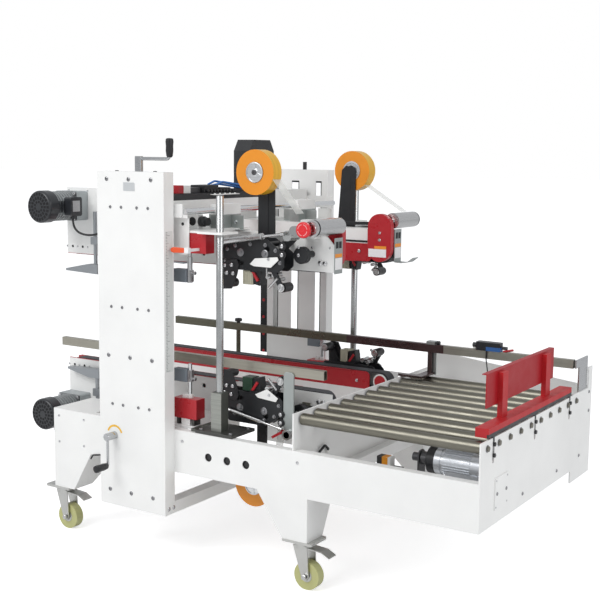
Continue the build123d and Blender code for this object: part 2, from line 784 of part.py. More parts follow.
# Sledge of the lower front unit: plate on the two slide shafts, nut on the width screw,
# and the guide post that takes the upper unit along
sledge_top = sledge_low + sledge_t
with BuildPart() as lower_front_sledge:
    with BuildSketch(Plane.XY.offset(sledge_low)):
        with Locations(((sledge_left + sledge_right) / 2, (front_in + 35.0 + unit_back) / 2)):
            Rectangle(sledge_right - sledge_left, unit_back - front_in - 35.0)
        with Locations(((sledge_right + post_x + 30.0) / 2, mid_y - post_y_out)):
            Rectangle(post_x + 30.0 - sledge_right, 64.0)
    extrude(amount=sledge_t)
    for x in shaft_x:
        with BuildSketch(Plane.XZ.offset(-(unit_front - 70.0))):
            with Locations((x, (shaft_z + sledge_low) / 2 - 8.0)):
                Rectangle(3.6 * shaft_r, sledge_low - shaft_z + 16.0)
            with Locations((x, shaft_z)):
                Circle(shaft_r + touch, mode=Mode.SUBTRACT)
        extrude(amount=-120.0)
    with BuildSketch(Plane.XZ.offset(-(unit_front - 20.0))):
        with Locations((side_screw_x, (side_screw_z + sledge_low) / 2 - 10.0)):
            Rectangle(4.4 * screw_r, sledge_low - side_screw_z + 20.0)
        with Locations((shaft_x[0], shaft_z)):
            Circle(shaft_r + touch, mode=Mode.SUBTRACT)
        with Locations((side_screw_x, side_screw_z)):
            Circle(screw_r + touch, mode=Mode.SUBTRACT)
    extrude(amount=-40.0)
    with BuildSketch(Plane.XY.offset(sledge_top)):
        with Locations(((sledge_left + sledge_right) / 2, (unit_front + unit_back) / 2)):
            Rectangle(sledge_right - sledge_left - 60.0, unit_wide)
    extrude(amount=unit_low - sledge_top)
    with BuildSketch(Plane.XY.offset(sledge_top)):
        with Locations((post_x, mid_y - post_y_out)):
            Rectangle(post_block, post_block)
    extrude(amount=post_block_top - sledge_top)
    with BuildSketch(Plane.XY.offset(post_block_top)):
        with Locations((post_x, mid_y - post_y_out)):
            Circle(post_r)
    extrude(amount=post_top - post_block_top)
    with BuildSketch(Plane.XY.offset(sledge_top)):
        with Locations((clamp_x, clamp_y)):
            Rectangle(36.0, 36.0)
    extrude(amount=clamp_low - sledge_top)
    with BuildSketch(Plane.XY.offset(clamp_low)):
        with Locations((clamp_x, clamp_y)):
            Rectangle(clamp_long, clamp_deep)
    extrude(amount=clamp_high)
    with BuildSketch(Plane.XY.offset(clamp_low + clamp_high)):
        with Locations((clamp_x - 12.0, clamp_y)):
            RegularPolygon(13.0, 6)
    extrude(amount=14.0)
lower_front_sledge.part.label = "lower_front_sledge"
export_step(lower_front_sledge.part, "parts/lower_front_sledge.step")

# Lower front tape head: two black side plates with rounded outline and a window, two swing arms
# with their rollers, brush block, cross pins and the arm that carries the tape roll
head_front = mid_y - head_out
head_back = head_front + head_wide
head_low = belt_top - head_high
roll_z = belt_top - roll_drop
swing_z = belt_top - 62.0
press_z = belt_top + 46.0
with BuildPart() as lower_front_tape_head:
    for y in (head_front, head_back - head_t):
        with BuildSketch(Plane.XZ.offset(-y)) as outline:
            with BuildLine():
                Polyline(
                    (head_left, belt_top - 74.0),
                    (head_left + 34.0, head_low),
                    (head_right - 70.0, head_low),
                    (head_right, belt_top - 66.0),
                    (head_right, belt_top - 22.0),
                    (head_right - 20.0, belt_top - 4.0),
                    (head_left + 22.0, belt_top - 4.0),
                    (head_left, belt_top - 26.0),
                    close=True,
                )
            make_face()
            fillet(outline.vertices(), radius=6.0)
            with Locations((head_left + 70.0, belt_top - 30.0)):
                SlotOverall(46.0, 14.0, rotation=12, mode=Mode.SUBTRACT)
            with Locations((head_right - 66.0, belt_top - 78.0)):
                Circle(11.0, mode=Mode.SUBTRACT)
        extrude(amount=-head_t)
    for pivot, tip in ((head_left + 78.0, head_left + 18.0), (head_right - 74.0, head_right - 12.0)):
        with BuildSketch(Plane.XZ.offset(-head_front)):
            with Locations((pivot, swing_z)):
                Circle(7.0)
        extrude(amount=-head_wide)
        with BuildSketch(Plane.XZ.offset(-(head_front + head_t))):
            SlotCenterPoint(((pivot + tip) / 2, (swing_z + press_z) / 2), (tip, press_z), 18.0)
        extrude(amount=-6.0)
        with BuildSketch(Plane.XZ.offset(-(head_front + head_t + 6.0))):
            with Locations((tip, press_z)):
                Circle(15.0)
        extrude(amount=-(head_wide - 2 * head_t - 6.0))
    with BuildSketch(Plane.XZ.offset(-(head_front + head_t))):
        with Locations((brush_x, belt_top - 30.0)):
            Rectangle(brush_wide, 62.0)
        with Locations((head_left + 30.0, head_low + 26.0), (head_right - 60.0, head_low + 18.0)):
            Circle(9.0)
    extrude(amount=-(head_wide - 2 * head_t))
    with BuildSketch(Plane.XZ.offset(-(head_front + head_t + 8.0))):
        with BuildLine():
            Polyline(
                (brush_x - brush_wide / 2, belt_top),
                (brush_x + brush_wide / 2, belt_top),
                (brush_x + brush_wide / 2 - 8.0, belt_top + 46.0),
                (brush_x - brush_wide / 2 + 2.0, belt_top + 40.0),
                close=True,
            )
        make_face()
    extrude(amount=-(head_wide - 2 * head_t - 16.0))
    with BuildSketch(Plane.XZ.offset(-head_back)):
        with Locations((roll_x, (roll_z + head_low + 40.0) / 2)):
            SlotOverall(head_low + 40.0 - roll_z + arm_wide, arm_wide, rotation=90)
    extrude(amount=-arm_t)
    with BuildSketch(Plane.XZ.offset(-head_back)):
        with Locations((roll_x, roll_z)):
            Circle(core_r - core_t - touch)
    extrude(amount=roll_wide + 3.0)
    with BuildSketch(Plane.XZ.offset(-(head_back - roll_wide - 3.0))):
        with Locations((roll_x, roll_z)):
            Circle(core_r - core_t - 8.0)
            Circle(core_r - core_t - 14.0, mode=Mode.SUBTRACT)
    extrude(amount=-6.0, mode=Mode.SUBTRACT)
    with BuildSketch(Plane.XZ.offset(-head_back)):
        with Locations((head_left + 27.0, belt_top - 94.0), (head_right - 43.0, belt_top - 94.0)):
            Circle(8.0)
    extrude(amount=-(unit_front - head_back))
lower_front_tape_head.part.label = "lower_front_tape_head"

with BuildPart() as lower_front_roll:
    with BuildSketch(Plane.XZ.offset(-(head_back - 2.0))):
        with Locations((roll_x, roll_z)):
            Circle(roll_r)
            Circle(core_r - core_t, mode=Mode.SUBTRACT)
    extrude(amount=roll_wide)
lower_front_roll.part.label = "lower_front_roll"
export_step(lower_front_roll.part, "parts/lower_front_roll.step")

# Front guide rail: square tube with closed ends; its two posts stand on brackets at the unit
rail_y = mid_y - rail_out + rail_t / 2
with BuildPart() as front_rail:
    with BuildSketch(Plane.YZ.offset(rail_left)):
        with Locations((rail_y, rail_low + rail_high / 2)):
            Rectangle(rail_t, rail_high)
            Rectangle(rail_t - 4.0, rail_high - 4.0, mode=Mode.SUBTRACT)
    extrude(amount=front_rail_right - rail_left)
    for x in rail_post_x:
        with BuildSketch(Plane.XY.offset(rail_foot)):
            with Locations((x, rail_y)):
                Circle(rail_post_r)
        extrude(amount=rail_low - rail_foot)
        with BuildSketch(Plane.XY.offset(rail_foot - sheet)):
            with Locations((x, (rail_y - 15.0 + unit_front) / 2)):
                Rectangle(30.0, unit_front - rail_y + 15.0)
        extrude(amount=sheet)
        with BuildSketch(Plane.XZ.offset(-unit_front)):
            with Locations((x, (rail_foot - sheet + belt_top - 40.0) / 2)):
                Rectangle(30.0, belt_top - 40.0 - rail_foot + sheet)
        extrude(amount=sheet)
front_rail.part.label = "front_rail"
export_step(front_rail.part, "parts/front_rail.step")

# Rear guide rail: longer, as far as the end panel; the second post stands on a bar over the rollers
rear_rail_y = mid_y + rail_out - rail_t / 2
unit_rear = mid_y + unit_out
with BuildPart() as rear_rail:
    with BuildSketch(Plane.YZ.offset(rail_left)):
        with Locations((rear_rail_y, rail_low + rail_high / 2)):
            Rectangle(rail_t, rail_high)
            Rectangle(rail_t - 4.0, rail_high - 4.0, mode=Mode.SUBTRACT)
    extrude(amount=rear_rail_right - rail_left)
    with BuildSketch(Plane.XY.offset(rail_foot)):
        with Locations((rail_post_x[0], rear_rail_y)):
            Circle(rail_post_r)
    extrude(amount=rail_low - rail_foot)
    with BuildSketch(Plane.XY.offset(rail_foot - sheet)):
        with Locations((rail_post_x[0], (rear_rail_y + 15.0 + unit_rear) / 2)):
            Rectangle(30.0, rear_rail_y + 15.0 - unit_rear)
    extrude(amount=sheet)
    with BuildSketch(Plane.XZ.offset(-(unit_rear + sheet))):
        with Locations((rail_post_x[0], (rail_foot - sheet + belt_top - 40.0) / 2)):
            Rectangle(30.0, belt_top - 40.0 - rail_foot + sheet)
    extrude(amount=sheet)
    with BuildSketch(Plane.XY.offset(bar_z)):
        with BuildLine():
            Polyline(
                (unit_right - 60.0, unit_rear),
                (bar_right, unit_rear),
                (bar_right, rear_rail_y + 14.0),
                (bar_right - 32.0, rear_rail_y + 14.0),
                (bar_right - 32.0, unit_rear + 26.0),
                (unit_right - 60.0, unit_rear + 26.0),
                close=True,
            )
        make_face()
    extrude(amount=8.0)
    with BuildSketch(Plane.XY.offset(bar_z + 8.0)):
        with Locations((bar_right - 16.0, rear_rail_y)):
            Circle(rail_post_r)
    extrude(amount=rail_low - bar_z - 8.0)
rear_rail.part.label = "rear_rail"
export_step(rear_rail.part, "parts/rear_rail.step")

# Upright bracket on the end panel behind the rear rail's end
with BuildPart() as rail_bracket:
    with BuildSketch(Plane.YZ.offset(base_right)):
        with BuildLine():
            Polyline(
                (rear_rail_y - 12.0, rail_low + 2.0),
                (rear_rail_y - 12.0, rail_low + rail_high),
                (rear_in - panel_raise_wide - 2.0, rail_low + rail_high),
                (rear_in - panel_raise_wide - 2.0, panel_top - 19.0),
                (rear_rail_y + 22.0, panel_top - 19.0),
                (rear_rail_y + 22.0, rail_low + 2.0),
                close=True,
            )
        make_face()
    extrude(amount=-panel_t)
rail_bracket.part.label = "rail_bracket"
export_step(rail_bracket.part, "parts/rail_bracket.step")

# Air valve block on the rear rail: body, round bowl under it and a pressure knob
with BuildPart() as valve_unit:
    with BuildSketch(Plane.XY.offset(rail_low + rail_high)):
        with Locations((valve_x, rear_rail_y)):
            Rectangle(92.0, 34.0)
    extrude(amount=30.0)
    fillet(valve_unit.edges().filter_by(Axis.Z), radius=5.0)
    with BuildSketch(Plane.YZ.offset(valve_x - 46.0)):
        with Locations((rear_rail_y, rail_low + rail_high + 15.0)):
            Circle(9.0)
    extrude(amount=-16.0)
    with BuildSketch(Plane.YZ.offset(valve_x + 46.0)):
        with Locations((rear_rail_y, rail_low + rail_high + 13.0)):
            Circle(6.0)
    extrude(amount=22.0)
valve_unit.part.label = "valve_unit"
export_step(valve_unit.part, "parts/valve_unit.step")

# Upper front hanger: bearing blocks on the head's shafts, post clamp, packer on the unit
hang_low = 2 * mid_z - unit_low + 5.0
hang_t = 7.0
clip_x = sledge_left + 8.0
clip_y = unit_front - gear_long - 4.0 - term_box / 2 + 9.0
clip_z = hang_low + hang_t + 22.0
with BuildPart() as upper_front_hanger:
    with BuildSketch(Plane.XY.offset(hang_low)):
        with Locations(((sledge_left + head_left - clear) / 2, (front_in + 35.0 + unit_back) / 2)):
            Rectangle(head_left - clear - sledge_left, unit_back - front_in - 35.0)
        with Locations(((head_left - clear + post_x + 34.0) / 2, mid_y - post_y_out + 10.0)):
            Rectangle(post_x + 34.0 - head_left + clear, 88.0)
        with Locations((post_x, mid_y - post_y_out)):
            Circle(post_r + touch, mode=Mode.SUBTRACT)
    extrude(amount=hang_t)
    for x in upper_shaft_x:
        with BuildSketch(Plane.XZ.offset(-(unit_front - 70.0))):
            with Locations((x, (hang_low + hang_t + carriage_low + 40.0) / 2)):
                Rectangle(40.0, carriage_low + 40.0 - hang_low - hang_t)
            with Locations((x, upper_shaft_z)):
                Circle(shaft_r + touch, mode=Mode.SUBTRACT)
        extrude(amount=-120.0)
    with BuildSketch(Plane.XY.offset(hang_low)):
        with Locations((-280.0, (unit_front + unit_back) / 2)):
            Rectangle(300.0, unit_wide)
    extrude(amount=-5.0)
    with BuildSketch(Plane.XY.offset(hang_low)):
        with Locations((clamp_x + 46.0, clamp_y)):
            Rectangle(clamp_long - 12.0, clamp_deep)
    extrude(amount=-clamp_high)
    with BuildSketch(Plane.XY.offset(hang_low + hang_t)):
        with Locations((clip_x + 8.0, clip_y)):
            Rectangle(16.0, 18.0)
    extrude(amount=clip_z - hang_low - hang_t + 9.0)
upper_front_hanger.part.label = "upper_front_hanger"
export_step(upper_front_hanger.part, "parts/upper_front_hanger.step")

# Each unit carries an adjustable flap finger at the infeed end: clamp, rod, block and tapered tip
finger_y = unit_front - 20.0
for name, finger_z, rod_end in (("lower", 548.0, 396.0), ("upper", 941.0, 1158.0)):
    way = 1.0 if rod_end > finger_z else -1.0
    with BuildPart() as housing:
        if name == "lower":
            add(lower_front_housing.part)
        else:
            mirror(lower_front_housing.part, about=height_plane)
            with BuildSketch(Plane.XZ.offset(-unit_back)):
                with Locations((cover_x, cover_z)):
                    SlotOverall(cover_high, cover_wide, rotation=90)
            extrude(amount=-cover_deep)
        with BuildSketch(Plane.XY.offset(finger_z)):
            with Locations((finger_x, finger_y)):
                Circle(7.0)
        extrude(amount=rod_end - finger_z)
        with BuildSketch(Plane.XY.offset((finger_z + rod_end) / 2 - 14.0)):
            with Locations((finger_x, finger_y + 5.0)):
                Rectangle(30.0, 30.0)
        extrude(amount=28.0)
        with BuildSketch(Plane.XZ.offset(-(finger_y - 14.0))):
            with BuildLine():
                Polyline(
                    (finger_x + 20.0, finger_z - 16.0 * way),
                    (finger_x + 20.0, finger_z + 20.0 * way),
                    (finger_x - 30.0, finger_z + 20.0 * way),
                    (finger_x - 140.0, finger_z - 2.0 * way),
                    (finger_x - 140.0, finger_z - 10.0 * way),
                    close=True,
                )
            make_face()
        extrude(amount=-28.0)
    housing.part.label = f"{name}_front_housing"
    export_step(housing.part, f"parts/{name}_front_housing.step")
    with BuildPart() as crossed:
        mirror(housing.part, about=mid_plane)
    crossed.part.label = f"{name}_rear_housing"
    export_step(crossed.part, f"parts/{name}_rear_housing.step")

# The terminal box sits under a lower motor and beside an upper one
term_y = unit_front - gear_long - 4.0
for name in ("lower", "upper"):
    with BuildPart() as motor:
        if name == "lower":
            add(lower_front_motor.part)
            with BuildSketch(Plane.XY.offset(motor_z - 40.0)):
                with Locations((motor_x, term_y - term_box / 2)):
                    RectangleRounded(term_box, term_box, 8.0)
            extrude(amount=-40.0)
        else:
            mirror(lower_front_motor.part, about=height_plane)
            with BuildSketch(Plane.YZ.offset(motor_x + 40.0)):
                with Locations((term_y - term_box / 2, 2 * mid_z - motor_z)):
                    RectangleRounded(term_box, term_box + 14.0, 8.0)
            extrude(amount=46.0)
            with BuildSketch(Plane.XY.offset(2 * mid_z - motor_z - (term_box + 14.0) / 2)):
                with Locations((motor_x + 66.0, term_y - term_box / 2)):
                    Circle(gland_r)
            extrude(amount=-gland_long)
    motor.part.label = f"{name}_front_motor"
    export_step(motor.part, f"parts/{name}_front_motor.step")
    with BuildPart() as crossed:
        mirror(motor.part, about=mid_plane)
    crossed.part.label = f"{name}_rear_motor"
    export_step(crossed.part, f"parts/{name}_rear_motor.step")

# Cable of the upper front motor: from its gland down in a sag and up to a clip on the hanger plate
cable_r = 4.0
cable_x = motor_x + 66.0
cable_y = term_y - term_box / 2
cable_z = 2 * mid_z - motor_z - (term_box + 14.0) / 2 - gland_long
cable_route = (
    Vector(cable_x, cable_y, cable_z),
    Vector(cable_x, cable_y, cable_z - 43.0),
    Vector(cable_x + 76.0, cable_y + 5.0, cable_z - 63.0),
    Vector(cable_x + 158.0, cable_y + 9.0, cable_z - 38.0),
    Vector(clip_x - 90.0, clip_y, clip_z),
    Vector(clip_x, clip_y, clip_z),
)
cable_radii = []
for before, corner, after in zip(cable_route, cable_route[1:], cable_route[2:]):
    half_turn = radians((corner - before).get_angle(after - corner) / 2)
    shorter = min((corner - before).length, (after - corner).length)
    cable_radii.append(0.45 * shorter / tan(half_turn))
print("cable radii", [round(radius, 1) for radius in cable_radii])
with BuildPart() as motor_cable:
    with BuildLine() as route:
        FilletPolyline(*cable_route, radius=cable_radii)
    with BuildSketch(Plane(origin=route.line @ 0, z_dir=route.line % 0)):
        Circle(cable_r)
    sweep()
motor_cable.part.label = "motor_cable"
export_step(motor_cable.part, "parts/motor_cable.step")

# The upper tape heads add a small guide roller on an ear beside the plates
for name in ("lower", "upper"):
    with BuildPart() as tape_head:
        if name == "lower":
            add(lower_front_tape_head.part)
        else:
            mirror(lower_front_tape_head.part, about=height_plane)
            with BuildSketch(Plane.XZ.offset(-(head_back - head_t))):
                SlotCenterPoint((head_right - 10.0, ear_z - 20.0), (head_right + 12.0, ear_z), 26.0)
            extrude(amount=-head_t)
            with BuildSketch(Plane.XZ.offset(-(head_back - head_t))):
                with Locations((head_right + 12.0, ear_z)):
                    Circle(17.0)
            extrude(amount=head_wide - head_t)
    tape_head.part.label = f"{name}_front_tape_head"
    export_step(tape_head.part, f"parts/{name}_front_tape_head.step")
    with BuildPart() as crossed:
        mirror(tape_head.part, about=mid_plane)
    crossed.part.label = f"{name}_rear_tape_head"
    export_step(crossed.part, f"parts/{name}_rear_tape_head.step")

# Long steel guide roller across the end of each upper unit, from the red cover outwards
with BuildPart() as upper_front_guide_roller:
    with BuildSketch(Plane.XZ.offset(-unit_back)):
        with Locations((guide_x, guide_z)):
            Circle(8.0)
    extrude(amount=unit_back - head_front)
    with BuildSketch(Plane.XZ.offset(-(unit_back - 6.0))):
        with Locations((guide_x, guide_z)):
            Circle(guide_r)
    extrude(amount=unit_back - head_front - 12.0)
upper_front_guide_roller.part.label = "upper_front_guide_roller"
export_step(upper_front_guide_roller.part, "parts/upper_front_guide_roller.step")

# Stop button box at the end of the upper front unit
with BuildPart() as stop_button:
    with BuildSketch(Plane.XZ.offset(-(unit_front))):
        with Locations((stop_x, stop_z)):
            RectangleRounded(stop_side, stop_side, 6.0)
    extrude(amount=stop_deep)
    with BuildSketch(Plane.XZ.offset(-(unit_front - stop_deep))):
        with Locations((stop_x, stop_z)):
            Circle(stop_neck_r)
    extrude(amount=stop_neck)
    with BuildSketch(Plane.XZ.offset(-(unit_front - stop_deep - stop_neck))):
        SlotCenterPoint((stop_x + stop_offset / 2, stop_z + 2.5), (stop_x + stop_offset, stop_z + 5.0), 30.0)
    extrude(amount=4.0)
    with BuildSketch(Plane.XZ.offset(-(unit_front - stop_deep - stop_neck - 4.0))):
        with Locations((stop_x + stop_offset, stop_z + 5.0)):
            Circle(stop_neck_r)
    extrude(amount=5.0)
    with BuildSketch(Plane.XZ.offset(-(unit_front - stop_deep - stop_neck - 9.0))):
        with Locations((stop_x + stop_offset, stop_z + 5.0)):
            Circle(stop_r)
    extrude(amount=12.0)
    fillet(stop_button.edges().filter_by(GeomType.CIRCLE).sort_by(Axis.Y)[0], radius=5.0)
stop_button.part.label = "stop_button"
export_step(stop_button.part, "parts/stop_button.step")

# The other units repeat these, upside down and face to face
for name, piece in (
    ("upper_front_belt", lower_front_belt),
    ("upper_front_roll", lower_front_roll),
):
    with BuildPart() as flipped:
        mirror(piece.part, about=height_plane)
    flipped.part.label = name
    export_step(flipped.part, f"parts/{name}.step")
    with BuildPart() as crossed:
        mirror(flipped.part, about=mid_plane)
    rear_name = name.replace("front", "rear")
    crossed.part.label = rear_name
    export_step(crossed.part, f"parts/{rear_name}.step")

for name, piece in (
    ("lower_rear_belt", lower_front_belt),
    ("lower_rear_roll", lower_front_roll),
    ("lower_rear_sledge", lower_front_sledge),
    ("upper_rear_hanger", upper_front_hanger),
    ("upper_rear_guide_roller", upper_front_guide_roller),
):
    with BuildPart() as crossed:
        mirror(piece.part, about=mid_plane)
    crossed.part.label = name
    export_step(crossed.part, f"parts/{name}.step")

# Castors: bolted plate and swivel fork with a brake pedal over a wheel, four of one kind
fork_z = leg_foot - plate_t
corners = (
    ("front_infeed", castor_x[0], mid_y - castor_half),
    ("front_table", castor_x[1], mid_y - castor_half),
    ("rear_infeed", castor_x[0], mid_y + castor_half),
    ("rear_table", castor_x[1], mid_y + castor_half),
)
with BuildPart() as castor_plates:
    with BuildSketch(Plane.XY.offset(fork_z)):
        with Locations([(x, y) for name, x, y in corners]):
            RectangleRounded(plate_long, plate_wide, 6.0)
    extrude(amount=plate_t)
castor_plates.part.label = "castor_plates"
export_step(castor_plates.part, "parts/castor_plates.step")

for name, x, y in corners:
    with BuildPart() as fork:
        with BuildSketch(Plane.XY.offset(fork_z - 22.0)):
            with Locations((x, y)):
                Circle(30.0)
        extrude(amount=22.0 - touch)
        for side in (-1, 1):
            with BuildSketch(Plane.XZ.offset(-(y + side * (wheel_wide / 2 + clear) + (side - 1) / 2 * fork_t))):
                with BuildLine():
                    Polyline(
                        (x - 26.0, fork_z - 12.0),
                        (x + 26.0, fork_z - 12.0),
                        (x + castor_trail + 14.0, wheel_r),
                        (x + castor_trail, wheel_r - 16.0),
                        (x + castor_trail - 14.0, wheel_r),
                        close=True,
                    )
                make_face()
            extrude(amount=-fork_t)
        with BuildSketch(Plane.XZ.offset(-(y - wheel_wide / 2 - clear - fork_t))):
            with Locations((x + castor_trail, wheel_r)):
                Circle(6.0)
        extrude(amount=-(wheel_wide + 2 * clear + 2 * fork_t))
        with BuildSketch(Plane.XZ.offset(-(y - pedal_wide / 2))):
            with BuildLine():
                Polyline(
                    (x + castor_trail, fork_z - 16.0),
                    (x + pedal_long - 28.0, fork_z - 20.0),
                    (x + pedal_long, fork_z - 34.0),
                    (x + pedal_long, fork_z - 34.0 - pedal_t),
                    (x + pedal_long - 28.0, fork_z - 20.0 - pedal_t),
                    (x + castor_trail, fork_z - 16.0 - pedal_t),
                    close=True,
                )
            make_face()
        extrude(amount=-pedal_wide)
    fork.part.label = f"{name}_fork"
    export_step(fork.part, f"parts/{name}_fork.step")
    with BuildPart() as wheel:
        with BuildSketch(Plane.XZ.offset(-(y - wheel_wide / 2))):
            with Locations((x + castor_trail, wheel_r)):
                Circle(wheel_r)
                Circle(6.0 + touch, mode=Mode.SUBTRACT)
        extrude(amount=-wheel_wide)
    wheel.part.label = f"{name}_wheel"
    export_step(wheel.part, f"parts/{name}_wheel.step")
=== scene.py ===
import bpy
import bmesh
import math
from mathutils import Matrix, Vector


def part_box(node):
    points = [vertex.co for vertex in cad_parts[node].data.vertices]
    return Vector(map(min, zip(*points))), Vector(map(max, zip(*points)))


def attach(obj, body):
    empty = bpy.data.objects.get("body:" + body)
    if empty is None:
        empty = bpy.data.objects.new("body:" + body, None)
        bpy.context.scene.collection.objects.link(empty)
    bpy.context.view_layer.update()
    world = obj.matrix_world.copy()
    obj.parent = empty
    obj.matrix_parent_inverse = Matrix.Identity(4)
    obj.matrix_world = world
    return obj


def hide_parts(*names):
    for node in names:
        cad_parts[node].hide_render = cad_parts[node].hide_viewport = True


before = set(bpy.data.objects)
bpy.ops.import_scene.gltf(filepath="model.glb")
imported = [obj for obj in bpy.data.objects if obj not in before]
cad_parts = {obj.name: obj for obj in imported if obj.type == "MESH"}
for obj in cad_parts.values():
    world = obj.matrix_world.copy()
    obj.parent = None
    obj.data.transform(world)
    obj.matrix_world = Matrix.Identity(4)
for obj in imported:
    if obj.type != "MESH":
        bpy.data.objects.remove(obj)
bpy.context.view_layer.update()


# Camera at the photograph's viewing angle: in front of the infeed end's right, a little above the head.
# Its place and lens come from the straight edges of the columns, the base and the table.
yaw, pitch, roll = math.radians(32.653), math.radians(7.525), math.radians(0.597)
look = Vector((-math.sin(yaw) * math.cos(pitch), math.cos(yaw) * math.cos(pitch), -math.sin(pitch)))
level = Vector((math.cos(yaw), math.sin(yaw), 0))
upright = level.cross(look)
right = math.cos(roll) * level + math.sin(roll) * upright
above = right.cross(look)
camera_data = bpy.data.cameras.new("camera")
camera_data.sensor_width = 36.0
camera_data.lens = 36.0 * 1105.741 / 600
camera = bpy.data.objects.new("camera", camera_data)
bpy.context.scene.collection.objects.link(camera)
turn = Matrix((right, above, -look)).transposed().to_4x4()
camera.matrix_world = Matrix.Translation((2.118, -3.266, 1.379)) @ turn
bpy.context.scene.camera = camera
bpy.context.scene.view_settings.view_transform = "Standard"


# Daylight studio: an even pale world, a broad lamp at the upper left of the camera and a weak one from
# the right. The floor and the backdrop are white to the camera; the floor keeps the machine's shadow.
world = bpy.data.worlds.new("studio")
bpy.context.scene.world = world
world.use_nodes = True
sky, sky_links = world.node_tree.nodes, world.node_tree.links
sky.clear()
lit = sky.new("ShaderNodeBackground")
lit.inputs["Color"].default_value = (0.96, 0.975, 1.0, 1)
lit.inputs["Strength"].default_value = 0.64
seen = sky.new("ShaderNodeBackground")
seen.inputs["Color"].default_value = (1, 1, 1, 1)
rays = sky.new("ShaderNodeLightPath")
either = sky.new("ShaderNodeMath")
either.operation = "MAXIMUM"
sky_links.new(rays.outputs["Is Camera Ray"], either.inputs[0])
sky_links.new(rays.outputs["Is Transmission Ray"], either.inputs[1])
choose = sky.new("ShaderNodeMixShader")
sky_links.new(either.outputs[0], choose.inputs[0])
sky_links.new(lit.outputs[0], choose.inputs[1])
sky_links.new(seen.outputs[0], choose.inputs[2])
sky_links.new(choose.outputs[0], sky.new("ShaderNodeOutputWorld").inputs[0])
for name, place, size, power in (("key", (-1.2, -4.2, 4.2), 3.0, 140.0),
        ("side", (4.2, -0.6, 2.6), 2.5, 42.0)):
    lamp_data = bpy.data.lights.new(name, "AREA")
    lamp_data.size = size
    lamp_data.energy = power
    lamp = bpy.data.objects.new(name, lamp_data)
    bpy.context.scene.collection.objects.link(lamp)
    lamp.location = place
    lamp.rotation_euler = (Vector((0, 0, 0.6)) - Vector(place)).to_track_quat("-Z", "Y").to_euler()
floor_mesh = bpy.data.meshes.new("floor")
floor_mesh.from_pydata([(-60, -60, 0), (60, -60, 0), (60, 60, 0), (-60, 60, 0)], [], [(0, 1, 2, 3)])
floor = bpy.data.objects.new("floor", floor_mesh)
bpy.context.scene.collection.objects.link(floor)
floor_paint = bpy.data.materials.new("floor")
floor_paint.use_nodes = True
nodes, links = floor_paint.node_tree.nodes, floor_paint.node_tree.links
nodes["Principled BSDF"].inputs["Base Color"].default_value = (0.86, 0.86, 0.86, 1)
nodes["Principled BSDF"].inputs["Roughness"].default_value = 0.9
glow = nodes.new("ShaderNodeEmission")
rays = nodes.new("ShaderNodeLightPath")
share = nodes.new("ShaderNodeMath")
share.operation = "MULTIPLY"
links.new(rays.outputs["Is Camera Ray"], share.inputs[0])
share.inputs[1].default_value = 0.56
links.new(share.outputs[0], glow.inputs["Strength"])
both = nodes.new("ShaderNodeAddShader")
links.new(nodes["Principled BSDF"].outputs[0], both.inputs[0])
links.new(glow.outputs[0], both.inputs[1])
links.new(both.outputs[0], nodes["Material Output"].inputs["Surface"])
floor_mesh.materials.append(floor_paint)


# Gate columns: folded and welded sheet steel, powder-coated white, standing on the column tie.
# Button screws hold the inner guide strips; a rule on the table side shows the carton height.
def effect(name, inputs, outputs=("Colour", "Roughness", "Height")):
    group = bpy.data.node_groups.new(name, "ShaderNodeTree")
    for label, value in inputs.items():
        kind = "NodeSocketColor" if isinstance(value, tuple) else "NodeSocketFloat"
        socket = group.interface.new_socket(label, in_out="INPUT", socket_type=kind)
        socket.default_value = value
    for label in outputs:
        kind = "NodeSocketColor" if label == "Colour" else "NodeSocketFloat"
        group.interface.new_socket(label, in_out="OUTPUT", socket_type=kind)
    return group, group.nodes.new("NodeGroupInput"), group.nodes.new("NodeGroupOutput")


def noise(tree, scale, detail=2.0, stretch=(1, 1, 1), low=0.0, high=1.0):
    place = tree.nodes.new("ShaderNodeTexCoord")
    mapping = tree.nodes.new("ShaderNodeMapping")
    mapping.inputs["Scale"].default_value = stretch
    texture = tree.nodes.new("ShaderNodeTexNoise")
    texture.inputs["Scale"].default_value = scale
    texture.inputs["Detail"].default_value = detail
    span = tree.nodes.new("ShaderNodeMapRange")
    span.inputs["From Min"].default_value = 0.3
    span.inputs["From Max"].default_value = 0.7
    span.inputs["To Min"].default_value = low
    span.inputs["To Max"].default_value = high
    tree.links.new(place.outputs["Object"], mapping.inputs["Vector"])
    tree.links.new(mapping.outputs[0], texture.inputs["Vector"])
    tree.links.new(texture.outputs[0], span.inputs["Value"])
    return span.outputs[0]


def worked(tree, operation, first, second):
    step = tree.nodes.new("ShaderNodeMath")
    step.operation = operation
    for socket, value in ((step.inputs[0], first), (step.inputs[1], second)):
        if isinstance(value, float):
            socket.default_value = value
        elif value is not None:
            tree.links.new(value, socket)
    return step.outputs[0]


def tinted(tree, colour, value):
    mix = tree.nodes.new("ShaderNodeVectorMath")
    mix.operation = "SCALE"
    tree.links.new(colour, mix.inputs[0])
    tree.links.new(value, mix.inputs["Scale"])
    return mix.outputs[0]


def skin(name, shade, shine, relief):
    """A surface whose colour, gloss and height each vary by a noise, given as that noise's settings."""
    tree, given, made = effect(name, {"Colour": (0.8, 0.8, 0.8, 1), "Gloss": 0.35})
    tree.links.new(tinted(tree, given.outputs["Colour"], noise(tree, **shade)), made.inputs["Colour"])
    gloss = given.outputs["Gloss"]
    if shine:
        gloss = worked(tree, "ADD", gloss, noise(tree, **shine))
    tree.links.new(gloss, made.inputs["Roughness"])
    tree.links.new(noise(tree, **relief), made.inputs["Height"])
    return tree


# powder coat: a fine orange-peel skin, slightly uneven gloss and faint handling smudges
coat_skin = skin("coat_skin", dict(scale=5.0, detail=4.0, low=0.955, high=1.02),
    dict(scale=22.0, detail=3.0, low=-0.05, high=0.07), dict(scale=850.0))

